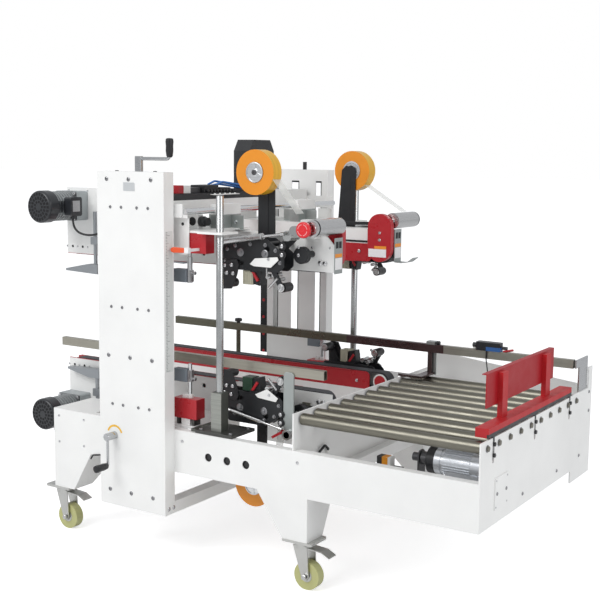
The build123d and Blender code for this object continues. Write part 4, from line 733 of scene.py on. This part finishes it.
# Gear motors: mid-grey finned bodies on light cast gear heads, with a black fan cowl and terminal box;
# the cowl's back has a ring of slots round a blank centre. Four bolts clamp each flange.
motor_coats = finish("motor_coats", coat_skin, (0.26, 0.275, 0.28), Gloss=0.36, coat=0.2, zones=(
    ({"Inside": 0.3872}, (0.022, 0.024, 0.028), 0.0, 0.34),
    ({"Outside": 0.2948}, (0.40, 0.43, 0.44), 0.4, 0.38),
    ({"Inside": 0.2948, "Left": -0.8135}, (0.022, 0.024, 0.028), 0.0, 0.34),
    ({"Inside": 0.2948, "High": 0.3655}, (0.022, 0.024, 0.028), 0.0, 0.34)))
shaft_x, shaft_z, lid_y = -0.864, 0.405, -0.277
# the cowl's slots are near-black strips: painted shade behind the openings
painted_slot_shade = finish("cowl_slot_shade", coat_skin, (0.004, 0.004, 0.005), Gloss=0.8)
motor_plate = finish("motor_plate", drawn_metal, (0.50, 0.51, 0.52), metallic=0.8, Gloss=0.4)
for unit in units:
    dress(unit + "_motor", motor_coats)
    shape = bmesh.new()
    for ring, count, long in ((0.047, 22, 0.011), (0.032, 16, 0.011), (0.018, 9, 0.008)):
        for i in range(count):
            a = 2 * math.pi * i / count
            across, out = Vector((-math.sin(a), 0, math.cos(a))), Vector((math.cos(a), 0, math.sin(a)))
            w = ring * 2 * math.pi / count * 0.34
            board(shape, ((-w, -long / 2), (w, -long / 2), (w, long / 2), (-w, long / 2)),
                Vector((shaft_x, -0.3853, shaft_z)) + out * ring, across, out, 0.0004)
    show_in(unit, "cowl_slot_shade", shape, painted_slot_shade)
    spun_in(unit, "motor_bolts", [(0.0075, 0), (0.0075, 0.006), (0.0065, 0.0068), (0, 0.0068)],
        [(x, -0.245, z) for x in (-0.909, -0.819) for z in (0.36, 0.45)], (0, -1, 0), 6, screw_steel)
    shape = bmesh.new()
    if "upper" in unit:
        board(shape, ((-0.020, -0.022), (0.016, -0.022), (0.016, 0.018), (-0.020, 0.018)),
            (-0.778, lid_y, shaft_z), (0, 1, 0), (0, 0, 1), 0.0012)
    else:
        board(shape, ((-0.024, -0.024), (0.024, -0.024), (0.024, 0.024), (-0.024, 0.024)),
            (shaft_x, lid_y, 0.325), (1, 0, 0), (0, -1, 0), 0.0012)
    show_in(unit, "terminal_lid", shape, motor_plate, soften=0.0005)


# Cable of the upper front motor: a round black rubber cable that leaves the terminal box's gland,
# sags, and is held at its other end in a clip on the hanger plate.
route = [(-0.798, -0.277, 1.133), (-0.798, -0.277, 1.090), (-0.722, -0.272, 1.070)]
route += [(-0.640, -0.268, 1.095), (-0.559, -0.268, 1.147), (-0.469, -0.268, 1.147)]
curve = bpy.data.curves.new("upper_motor_cable", "CURVE")
curve.dimensions = "3D"
curve.bevel_depth = 0.004
curve.bevel_resolution = 4
line = curve.splines.new("NURBS")
line.points.add(len(route) - 1)
for point, corner in zip(line.points, route):
    point.co = (*corner, 1)
line.order_u = 3
line.use_endpoint_u = True
line.resolution_u = 16
curve.materials.append(cable_rubber)
cable = bpy.data.objects.new("upper_motor_cable", curve)
bpy.context.scene.collection.objects.link(cable)
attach(cable, "upper_front")
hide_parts("motor_cable")


# Sledges and hangers: white plates with bearing blocks that slide on chromed shafts, steel guide posts
# in dark steel blocks, folded red clamp covers, galvanised boxes and red clamp levers. Grey sensors
# are clipped to the rods.
rod_x, rod_y = -0.172, -0.375
post_dark = (0.13, 0.135, 0.12)
post_steel = finish("post_steel", coat_skin, (0.50, 0.51, 0.51), metallic=1.0, bump=0.01, Gloss=0.22)
sledge_coats = finish("sledge_coats", coat_skin, (0.87, 0.87, 0.855), Gloss=0.34, zones=(
    ({"Left": -0.1322, "Inside": 0.30}, post_dark, 0.6, 0.42),))
block_side = finish("block_side", drawn_metal, (0.36, 0.37, 0.34), metallic=0.7, Gloss=0.42)
base_steel = finish("base_steel", drawn_metal, (0.09, 0.09, 0.085), metallic=0.6, Gloss=0.42)
for unit in lower_units:
    dress(unit + "_sledge", sledge_coats)
    spun_in(unit, "guide_post", [(0.0122, 0), (0.0122, 0.645), (0.0108, 0.647), (0, 0.647)],
        [(-0.036, -0.39, 0.596)], (0, 0, 1), 32, post_steel)
    boxed_in(unit, "post_block_face", (-0.0568, -0.4108, 0.4665), (-0.0152, -0.4101, 0.5955), block_side)
    boxed_in(unit, "post_base", (-0.107, -0.432, 0.4562), (0.043, -0.300, 0.4668), base_steel,
        soften=0.0008)
    spun_in(unit, "post_base_bolts", [(0.0065, 0), (0.0065, 0.004), (0.0055, 0.0048), (0, 0.0048)],
        [(x, y, 0.4667) for x in (-0.092, 0.028) for y in (-0.418, -0.318)], (0, 0, 1), 6, screw_steel)
    boxed_in(unit, "clamp_cover", (-0.2285, -0.3985, 0.4885), (-0.1275, -0.3515, 0.5565), red,
        soften=0.0015)
    shape = bmesh.new()
    block(shape, (-0.215, -0.395, 0.4665), (-0.205, -0.36, 0.489))
    block(shape, (-0.150, -0.395, 0.4665), (-0.140, -0.36, 0.489))
    show_in(unit, "clamp_feet", shape, base_steel, soften=0.0008)
    spun_in(unit, "clamp_nut", [(0.011, 0), (0.011, 0.012), (0.0085, 0.014), (0, 0.014)],
        [(rod_x, rod_y, 0.5566)], (0, 0, 1), 6, white_plastic)
    spun_in(unit, "clamp_rod", [(0.0065, 0), (0.0065, 0.104), (0, 0.105)], [(rod_x, rod_y, 0.570)],
        (0, 0, 1), 20, chrome)
bearing_z = flip_z - 1.1485
hanger_coats = finish("hanger_coats", coat_skin, (0.87, 0.87, 0.855), Gloss=0.34, zones=(
    ({"Left": -0.178, "Right": -0.136, "Low": 1.1255, "High": 1.1715}, (0.40, 0.43, 0.42), 0.7, 0.38),))
for unit in upper_units:
    dress(unit + "_hanger", hanger_coats)
    boxed_in(unit, "clamp_cover", (-0.1765, -0.3985, flip_z - 1.1178), (-0.0875, -0.3515, flip_z - 1.0505),
        red, soften=0.0015)
    shape = bmesh.new()
    block(shape, (-0.236, -0.187, flip_z - 1.169), (-0.088, -0.1852, flip_z - 1.12))
    block(shape, (-0.236, -0.215, flip_z - 1.1215), (-0.062, -0.1852, flip_z - 1.12))
    show_in(unit, "carriage_box", shape, galvanised, soften=0.0006)
    shape = bmesh.new()
    for x in (-0.20, -0.12):
        turned(shape, [(0.006, 0), (0.006, 0.004), (0.005, 0.0048), (0, 0.0048)],
            (x, -0.187, flip_z - 1.145), (0, -1, 0), 6)
    turned(shape, [(0.0065, 0), (0.0065, 0.012), (0.009, 0.013), (0.009, 0.10), (0, 0.1015)],
        (rod_x, rod_y, flip_z - 1.0505 + 0.002), (0, 0, 1), 20)
    show_in(unit, "clamp_rod", shape, chrome, smooth=True)
    plated_in(unit, "hanger_plate", ((-0.215, flip_z - 1.165), (-0.1525, flip_z - 1.165),
        (-0.1525, flip_z - 1.052), (-0.165, flip_z - 1.044), (-0.215, flip_z - 1.044)), -0.4015, 0.003,
        white, soften=0.0006)
    # a dark disc on the hanger plate: painted shade inside its hole
    spun_in(unit, "hanger_hole_shade", [(0.0055, 0), (0.0055, 0.0006), (0, 0.0006)],
        [(-0.178, -0.4046, flip_z - 1.146)], (0, -1, 0), 20, dark, smooth=False)
    boxed_in(unit, "bearing_block", (-0.242, -0.30, flip_z - 1.172), (-0.197, -0.27, flip_z - 1.125),
        white, soften=0.002)
    shape = bmesh.new()
    turned(shape, [(0.0145, 0), (0.0145, 0.0012), (0.0105, 0.0016), (0.0095, -0.001)],
        (-0.2195, -0.3002, bearing_z), (0, -1, 0), 28)
    turned(shape, [(0, 0), (0.016, 0), (0.018, 0.004), (0.018, 0.018), (0.014, 0.022), (0.014, 0.034),
        (0, 0.034)], (-0.197, -0.285, bearing_z), (1, 0, 0), 24)
    show_in(unit, "bearing_knob", shape, black_plastic, smooth=True)
lever_red = finish("lever_red", coat_skin, (0.78, 0.09, 0.02), Gloss=0.32, coat=0.3)
for unit in upper_units:
    lever = [(-0.1875, 1.0635), (-0.184, 1.0705), (-0.174, 1.0735), (-0.127, 1.0725), (-0.127, 1.0565),
        (-0.174, 1.0545), (-0.184, 1.0575)]
    plated_in(unit, "clamp_lever", [(x, flip_z - z) for x, z in lever], -0.4505, 0.010, lever_red,
        soften=0.003)
    shape = bmesh.new()
    block(shape, (-0.127, -0.4625, flip_z - 1.0735), (-0.110, -0.4485, flip_z - 1.0555))
    block(shape, (-0.124, -0.4495, flip_z - 1.069), (-0.113, -0.398, flip_z - 1.060))
    show_in(unit, "lever_joint", shape, label_white, soften=0.001)
sensor_grey = finish("sensor_grey", coat_skin, (0.20, 0.23, 0.26), Gloss=0.4)
for unit in units:
    z0 = 0.589 if "upper" in unit else 0.611
    boxed_in(unit, "rod_sensor", (-0.234, -0.388, z0), (-0.179, -0.362, z0 + 0.044), sensor_grey,
        soften=0.0015)
    shape = bmesh.new()
    block(shape, (-0.1795, -0.383, z0 + 0.002), (-0.161, -0.367, z0 + 0.042))
    turned(shape, [(0.0045, 0), (0.0045, 0.008), (0.006, 0.009), (0.006, 0.013), (0, 0.013)],
        (-0.161, rod_y, z0 + 0.012), (1, 0, 0), 14)
    show_in(unit, "rod_clip", shape, screw_steel, soften=0.001, smooth=True)


# Tape heads: black anodised side plates with press rollers on swing arms, a bristle brush beside a red
# blade shield, a steel spring rod and the long arm that carries the tape roll. A short black drum stands
# beside each head, and everything is screwed to the side plates.
roller_steel = finish("roller_steel", drawn_metal, (0.60, 0.60, 0.60), metallic=1.0, Gloss=0.22)
tread = finish("roller_rubber", rubber_skin, (0.022, 0.022, 0.024), bump=0.15, Gloss=0.38)
bristle_skin = skin("bristle_skin", dict(scale=14.0, detail=5.0, stretch=(40, 40, 1), low=0.55, high=1.2),
    None, dict(scale=20.0, detail=5.0, stretch=(50, 50, 1)))
bristles = finish("bristles", bristle_skin, (0.52, 0.50, 0.38), bump=0.8, Gloss=0.85)
head_face, press_xs, press_z = -0.30, (-0.079, 0.141), 0.637
ear_x, ear_z = 0.178, 0.465
green = finish("green_block", coat_skin, (0.012, 0.045, 0.022), Gloss=0.4)
for unit in units:
    shape = bmesh.new()
    turned(shape, [(0.0, 0.0), (0.026, 0.0), (0.028, 0.002), (0.028, 0.022), (0.0, 0.022)],
        (0.190, -0.258, 0.5305), (0, 1, 0), 40)
    turned(shape, [(0.011, 0.0), (0.011, 0.052)], (0.190, -0.236, 0.5305), (0, 1, 0), 24)
    show_in(unit, "head_drum", shape, black_coat, smooth=True)
    spun_in(unit, "drum_bolts", [(0.0055, 0), (0.0055, 0.0012), (0.0040, 0.002), (0.0035, 0.004),
        (0, 0.0045)], [(0.182, -0.258, z) for z in (0.504, 0.5305)], (0, -1, 0), 18, screw_steel)
head_coats = finish("head_coats", coat_skin, (0.010, 0.011, 0.013), Gloss=0.40, zones=(
    ({"Left": 0.1475, "Low": 1.099, "Inside": 0.2948}, (0.55, 0.56, 0.55), 1.0, 0.24),))
for unit in units:
    upper = "upper" in unit
    dress(unit + "_tape_head", head_coats)
    spun_in(unit, "press_rollers", [(0.0, 0.0), (0.0153, 0.0), (0.0153, 0.0465), (0.0, 0.0465)],
        [(x, -0.2905, press_z) for x in press_xs], (0, 1, 0), 28, tread)
    shape = bmesh.new()
    for x in press_xs:
        for y, way in ((-0.2968, -1), (-0.243, 1)):
            turned(shape, [(0.0135, 0), (0.0135, 0.0018), (0.0112, 0.0024), (0.0112, 0.001),
                (0.0085, 0.001), (0.0085, 0.0026), (0.0055, 0.0026), (0.0055, 0.001), (0, 0.001)],
                (x, y, press_z), (0, way, 0), 24)
    show_in(unit, "press_roller_caps", shape, roller_steel, smooth=True)
    shape = bmesh.new()
    pins = [(-0.073, 0.52), (-0.04, 0.507), (0.02, 0.5), (0.08, 0.5), (0.12, 0.516), (0.138, 0.555),
        (-0.08, 0.56), (-0.019, 0.529), (0.079, 0.529)]
    for x, z in pins:
        turned(shape, [(0.0068, 0), (0.0068, 0.001), (0.0050, 0.0014), (0.0046, 0.0045), (0.0038, 0.0052),
            (0, 0.0052)], (x, head_face, z), (0, -1, 0), 16)
    for x, z in ((-0.019, 0.529), (0.079, 0.529)):
        turned(shape, [(0.0135, 0), (0.0135, 0.001), (0.012, 0.0018), (0.008, 0.0018)], (x, head_face, z),
            (0, -1, 0), 24)
    show_in(unit, "head_screws", shape, pin_steel, smooth=True)
    # black carrier of the left press roller, with its screws, and two cast stops at the right edge
    shape = bmesh.new()
    carrier = ((-0.094, 0.556), (-0.030, 0.552), (-0.022, 0.570), (-0.030, 0.604), (-0.052, 0.652),
        (-0.086, 0.655), (-0.096, 0.640))
    plate(shape, carrier, -0.3005, 0.0045)
    for x, z in ((0.150, 0.500), (0.150, 0.528)):
        turned(shape, [(0.0, 0.0), (0.013, 0.0), (0.013, 0.004), (0, 0.005)], (x, -0.3005, z), (0, -1, 0),
            24)
    show_in(unit, "roller_carrier", shape, black_plastic, soften=0.0008, smooth=True)
    rows = ((0.150, 0.500), (0.150, 0.528), (-0.07, 0.60), (-0.05, 0.572), (-0.078, 0.575), (-0.044, 0.60))
    spun_in(unit, "carrier_screws", [(0.0065, 0), (0.0065, 0.004), (0.005, 0.005), (0.003, 0.005),
        (0.003, 0.003), (0, 0.003)], [(x, -0.3052, z) for x, z in rows], (0, -1, 0), 14, screw_steel)
    shape = bmesh.new()
    if upper:
        barrel = [(0.0, 0), (0.0105, 0), (0.0115, 0.002), (0.0105, 0.004), (0.0105, 0.146),
            (0.0118, 0.148), (0.0118, 0.154), (0.004, 0.155)]
        turned(shape, barrel + [(0.004, 0.226), (0.0065, 0.227), (0.0065, 0.240), (0, 0.240)],
            (-0.073, -0.3135, 0.494), (0.989, 0, -0.148), 28)
    else:
        spring = []
        for i in range(34):
            spring += [(0.0048, 0.016 + 0.0036 * i), (0.0066, 0.0178 + 0.0036 * i)]
        turned(shape, [(0, 0), (0.006, 0), (0.006, 0.014), (0.0042, 0.015)] + spring + [(0.0036, 0.142),
            (0.0036, 0.206), (0.0062, 0.207), (0.0062, 0.224), (0, 0.224)], (-0.061, -0.3115, 0.520),
            (0.985, 0, -0.174), 18)
        for inner, outer in ((0.0, 0.0042), (0.0078, 0.0112), (0.0142, 0.0172)):
            ring = [(outer, 0.0), (outer, 0.0035), (inner, 0.0035)] if inner else [(outer, 0.0),
                (outer, 0.0035), (0, 0.0035)]
            turned(shape, ring, (ear_x, -0.3105, ear_z), (0, -1, 0), 32)
        turned(shape, [(0.0, 0.0), (0.0168, 0.0), (0.0168, 0.046), (0.0, 0.046)], (ear_x, -0.3075, ear_z),
            (0, 1, 0), 32)
    show_in(unit, "spring_rod", shape, roller_steel, smooth=True)
    if not upper:
        shape = bmesh.new()
        arm = ((0.118, 0.520), (0.136, 0.522), (0.190, 0.470), (0.186, 0.453), (0.170, 0.450))
        plate(shape, arm, -0.2575, 0.004)
        turned(shape, [(0.0, 0.0), (0.0162, 0.0), (0.0162, 0.003), (0.0, 0.003)], (ear_x, -0.3076, ear_z),
            (0, -1, 0), 32)
        show_in(unit, "ear_arm", shape, black_coat, soften=0.001)
        plated_in(unit, "red_link", ((0.113, 0.450), (0.118, 0.443), (0.166, 0.472), (0.162, 0.480)),
            -0.3035, 0.003, red, soften=0.0006)
    if upper:
        guard = ((0.024, 0.565), (0.044, 0.545), (0.133, 0.536), (0.137, 0.546), (0.107, 0.572),
            (0.040, 0.571))
    else:
        guard = ((0.048, 0.584), (0.096, 0.607), (0.139, 0.581), (0.131, 0.568), (0.060, 0.574))
    plated_in(unit, "blade_guard", guard, -0.3045, 0.0035, white_plastic, soften=0.0008)
    spun_in(unit, "guard_bolt", [(0.0055, 0), (0.0055, 0.002), (0.0045, 0.003), (0, 0.003)],
        [(guard[2][0] - 0.034, -0.308, guard[2][1] + 0.008)], (0, -1, 0), 6, screw_steel)
    boxed_in(unit, "brush", (-0.014, -0.293, 0.5885), (0.026, -0.252, 0.635),
        green if unit == "lower_front" else bristles, soften=0.001)
    plated_in(unit, "blade_shield", ((0.020, 0.590), (0.027, 0.586), (0.050, 0.618), (0.043, 0.624)),
        -0.2505, 0.044, red, soften=0.0005)
    # small steel rollers and links behind the blade
    shape = bmesh.new()
    for x, z, r in ((0.086, 0.604, 0.0085), (0.108, 0.598, 0.007), (0.120, 0.612, 0.006)):
        turned(shape, [(0, 0), (r, 0), (r, 0.012), (r * 0.86, 0.013), (r * 0.86, 0.033), (r, 0.034),
            (r, 0.046), (0, 0.046)], (x, -0.293, z), (0, 1, 0), 20)
    rod(shape, ((0.094, -0.297, 0.640), (0.128, -0.297, 0.606)), 0.0045, 0.01, 12)
    rod(shape, ((0.086, -0.297, 0.604), (0.086, -0.297, 0.575)), 0.004, 0.01, 12)
    show_in(unit, "small_rollers", shape, roller_steel, smooth=True)
webs = {"upper_front": ((0.030, 0.471), (0.077, 0.471), (0.075, 0.283), (0.030, 0.283)),
    "upper_rear": ((-0.024, 0.471), (0.030, 0.471), (0.030, 0.250), (0.008, 0.246), (-0.009, 0.262))}
for unit, outline in webs.items():
    plated_in(unit, "roll_arm_web", outline, -0.2345, 0.004, black_coat, soften=0.0008)
# a black strip along the upper rear unit's belt edge: painted shade in the gap there
shape = bmesh.new()
plate(shape, ((0.045, 1.0635), (0.178, 1.0635), (0.178, 1.0705), (0.045, 1.0705)), 0.2290, 0.001)
show("upper_rear_belt_gap_shade", shape, "upper_rear", black_coat)
# black foot plate between the upper rear arm and the cover
shape = bmesh.new()
plate(shape, ((0.035, 1.120), (0.165, 1.124), (0.172, 1.136), (0.035, 1.131)), 0.296, 0.004)
show("upper_rear_arm_foot", shape, "upper_rear", black_coat, soften=0.0008)


# Tape rolls: clear amber film wound on a card core, on an aluminium hub with spring lugs. The tape
# runs off the roll as a clear strip to the first guide of the head.
film_skin = skin("film_skin", dict(scale=4.0, detail=3.0, stretch=(2, 30, 2), low=0.92, high=1.08), None,
    dict(scale=30.0, detail=3.0, stretch=(1, 20, 1)))
amber_film = finish("amber_film", film_skin, (0.74, 0.40, 0.010), bump=0.05, coat=0.15, Gloss=0.34, zones=(
    ({"Inside": 0.3395}, (0.80, 0.28, 0.012), 0.0, 0.34),
    ({"Outside": 0.2925}, (0.80, 0.28, 0.012), 0.0, 0.34)))
roll_x, roll_z = 0.030, 0.265
hub_alloy = finish("hub_alloy", drawn_metal, (0.72, 0.73, 0.74), metallic=1.0, bump=0.05, Gloss=0.26)
web_film = bpy.data.materials.new("tape_web")
web_film.use_nodes = True
nodes, links = web_film.node_tree.nodes, web_film.node_tree.links
film = nodes["Principled BSDF"]
film.inputs["Alpha"].default_value = 0.38
group = nodes.new("ShaderNodeGroup")
group.node_tree = film_skin
group.inputs["Colour"].default_value = (0.80, 0.80, 0.76, 1)
group.inputs["Gloss"].default_value = 0.14
links.new(group.outputs["Colour"], film.inputs["Base Color"])
links.new(group.outputs["Roughness"], film.inputs["Roughness"])
for unit in units:
    dress(unit + "_roll", amber_film)
    shape = bmesh.new()
    face = [(0.0335, 0.0), (0.0335, 0.0016), (0.0300, 0.0022), (0.0290, -0.005), (0.0140, -0.0065),
        (0.0130, 0.001), (0.0100, 0.002), (0, 0.002)]
    turned(shape, face, (roll_x, -0.2912, roll_z), (0, -1, 0), 40)
    for i in range(3):
        a = math.radians(30 + 120 * i)
        out = Vector((math.cos(a), 0, math.sin(a)))
        lug = ((-0.0045, 0.011), (0.0045, 0.011), (0.006, 0.030), (-0.006, 0.030))
        board(shape, lug, Vector((roll_x, -0.2900, roll_z)), Vector((-math.sin(a), 0, math.cos(a))), out,
            -0.003)
    show_in(unit, "roll_hub", shape, hub_alloy, smooth=True)
    spun_in(unit, "roll_hub_nut", [(0.0095, 0), (0.0095, 0.0012), (0.007, 0.0022), (0.0035, 0.0022),
        (0.0035, 0.0008), (0, 0.0008)], [(roll_x, -0.2932, roll_z)], (0, -1, 0), 20, dark_steel)
    spun_in(unit, "roll_back_disc", [(0.012, 0), (0.0362, 0), (0.0362, 0.0008), (0.030, 0.0012),
        (0.029, 0.0003), (0.012, 0.0003)], [(roll_x, -0.2400, roll_z)], (0, 1, 0), 40, hub_alloy)
    strips = {"upper_front": ((0.100, 0.286), (0.192, 0.395)),
        "upper_rear": ((0.083, 0.315), (0.241, 0.410))}
    (x0, z0), (x1, z1) = strips.get(unit, ((0.103, 0.27), (0.128, 0.47)))
    shape = bmesh.new()
    slope = math.hypot(x1 - x0, z1 - z0)
    along = Vector(((x1 - x0) / slope, 0, (z1 - z0) / slope))
    board(shape, ((0, -0.2895), (slope, -0.2895), (slope, -0.2425), (0, -0.2425)), (x0, 0, z0), along,
        (0, 1, 0), 0.0004)
    show_in(unit, "tape_strip", shape, web_film)


# Guide rails: square steel tubes on posts; the front one is pale zinc. The rear one is the same steel with
# painted reflections:
# dark brown, dark reddish brown from the middle on, and pale like the front one at the table end. A black
# knob and a galvanised clamp hold the rear rail, which carries the air valve; a flat galvanised post holds
# the front one at the tape head.
rail_y = 0.385
front_zinc = finish("front_rail_zinc", drawn_metal, (0.42, 0.40, 0.34), metallic=0.9, Gloss=0.36)
rear_rail_reflections = finish("rear_rail_steel", drawn_metal, (0.15, 0.145, 0.11), metallic=0.9, Gloss=0.30, zones=(
    ({"Left": 0.0}, (0.11, 0.075, 0.075), 0.8, 0.28),
    ({"Left": 0.41}, (0.40, 0.39, 0.34), 0.8, 0.32)))
dress("front_rail", front_zinc)
dress("rear_rail", rear_rail_reflections)
dress("rail_bracket", finish("ground_steel", drawn_metal, (0.56, 0.57, 0.58), metallic=1.0, Gloss=0.28))
shape = bmesh.new()
knob = [(0.0, 0.0), (0.007, 0.0), (0.0075, 0.004), (0.0145, 0.006), (0.0155, 0.012), (0.013, 0.018),
    (0, 0.0195)]
turned(shape, knob, (-0.521, rail_y, 0.689), (0, 0, 1), 20)
turned(shape, [(0.004, 0), (0.004, 0.004), (0.0075, 0.005), (0.0075, 0.014), (0, 0.015)],
    (0.376, 0.386, 0.695), (1, 0, 0), 16)
show("rear_rail_knobs", shape, "lower_rear", black_plastic, smooth=True)
shape = bmesh.new()
block(shape, (0.342, 0.371, 0.6885), (0.376, 0.399, 0.7005))
plate(shape, ((0.339, 0.5735), (0.373, 0.5735), (0.373, 0.6995), (0.339, 0.6995)), 0.3975, 0.004)
show("rear_rail_clamp", shape, "lower_rear", galvanised, soften=0.0006)
spun("front_rail_post", "lower_front", [(0.0095, 0.0), (0.0095, 0.176)], [(-0.521, -0.285, 0.482)],
    (0, 0, 1), 24, post_steel)
shape = bmesh.new()
round_end = [(x, z + 0.491) for x, z in arc(0.020, range(180, 361, 20))]
board(shape, round_end + [(0.020, 0.664), (0.012, 0.672), (-0.012, 0.672), (-0.020, 0.664)],
    (0.1765, -0.3005, 0), (1, 0, 0), (0, 0, 1), -0.006)
show("front_rail_flat_post", shape, "lower_front", galvanised, soften=0.0012)
dress("valve_unit", finish("valve_body", coat_skin, (0.012, 0.014, 0.018), Gloss=0.34, zones=(
    ({"Left": 0.579, "Right": 0.634, "Low": 0.6885, "High": 0.7035}, (0.03, 0.12, 0.36), 0.0, 0.3),)))
shape = bmesh.new()
turned(shape, [(0.0055, 0), (0.0055, 0.008), (0.0045, 0.009), (0, 0.009)], (0.5446, rail_y, 0.700),
    (0, 0, 1), 14)
turned(shape, [(0.0065, 0), (0.0065, 0.009), (0.005, 0.0105), (0, 0.0105)], (0.5855, rail_y, 0.708),
    (0, 0, 1), 14)
rod(shape, ((0.580, 0.370, 0.688), (0.580, 0.370, 0.660), (0.586, 0.374, 0.612)), 0.0022, 0.006, 8)
show("valve_knobs", shape, "lower_rear", black_plastic, smooth=True)
shape = bmesh.new()
rod(shape, ((0.640, 0.382, 0.690), (0.677, 0.382, 0.699)), 0.0042, 0.006, 10)
show("valve_lever", shape, "lower_rear", red, smooth=True)
spun("valve_fitting", "lower_rear", [(0.004, 0), (0.004, 0.006), (0.006, 0.007), (0.006, 0.014),
    (0, 0.014)], [(0.539, rail_y, 0.694)], (-1, 0, 0), 14, white_plastic)


# Ends of the upper units: steel guide rollers across the carton path's top edge, and the stop button
# on its bracket at the front.
for unit in upper_units:
    dress(unit + "_guide_roller", roller_steel)
    spun_in(unit, "guide_roller_cap", [(0.0275, 0), (0.0275, 0.001), (0.021, 0.0015), (0.020, 0.0004),
        (0.014, 0.0004), (0.013, 0.002), (0.007, 0.002), (0.006, 0.0008), (0, 0.0008)],
        [(0.261, -0.3002, flip_z - 1.145)], (0, -1, 0), 32, roller_steel)
dress("stop_button", finish("stop_button", coat_skin, (0.72, 0.012, 0.02), Gloss=0.25, coat=0.4, zones=(
    ({"Outside": 0.3604}, (0.30, 0.31, 0.31), 0.6, 0.4),
    ({"Outside": 0.2656}, (0.84, 0.84, 0.82), 0.0, 0.3))))
pale_red = finish("button_ring", coat_skin, (0.85, 0.42, 0.42), Gloss=0.3)
shape = bmesh.new()
for start in (10, 100, 190, 280):
    quarter = arc(0.0185, range(start, start + 71, 10)) + arc(0.0165, range(start + 70, start - 1, -10))
    board(shape, quarter, (0.238, -0.3231, 1.140), (1, 0, 0), (0, 0, 1), 0.0003)
show("stop_button_ring", shape, "upper_front", pale_red)


# Castors: zinc-plated pressed forks with a brake pedal, under plates with four bolts each; pale cast
# polyurethane wheels with a pressed cap over each bearing and a nut on both ends of the axle.
wheel_z = 0.046
zinc = finish("zinc_plate", coat_skin, (0.60, 0.60, 0.58), metallic=0.95, Gloss=0.32)
urethane = finish("urethane", coat_skin, (0.50, 0.50, 0.22), coat=0.3, Gloss=0.34)
dress("castor_plates", zinc)
plate_middles = [(x, y) for x in (-0.742, 0.300) for y in (-0.390, 0.490)]
spun("castor_plate_bolts", "frame", [(0.0065, 0), (0.0065, 0.0035), (0.0055, 0.0042), (0, 0.0042)],
    [(x + dx, y + dy, 0.157) for x, y in plate_middles for dx in (-0.043, 0.043)
        for dy in (-0.035, 0.035)], (0, 0, -1), 6, screw_steel)
for corner in ("front_infeed", "front_table", "rear_infeed", "rear_table"):
    dress(corner + "_fork", zinc)
    dress(corner + "_wheel", urethane)
    low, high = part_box(corner + "_wheel")
    cx, cy = (low[0] + high[0]) / 2, (low[1] + high[1]) / 2
    shape = bmesh.new()
    for way in (-1, 1):
        cap = [(0.020, 0.0), (0.020, 0.0012), (0.016, 0.002), (0.009, 0.002), (0.008, 0.0008), (0, 0.0008)]
        turned(shape, cap, (cx, cy + way * 0.0161, wheel_z), (0, way, 0), 28)
    show(corner + "_hub_caps", shape, corner + "_wheel", zinc, smooth=True)
    shape = bmesh.new()
    for way in (-1, 1):
        turned(shape, [(0.009, 0), (0.009, 0.005), (0.008, 0.0058), (0, 0.0058)],
            (cx, cy + way * 0.030, wheel_z), (0, way, 0), 6)
    show(corner + "_axle_nuts", shape, corner + "_fork", screw_steel, smooth=True)
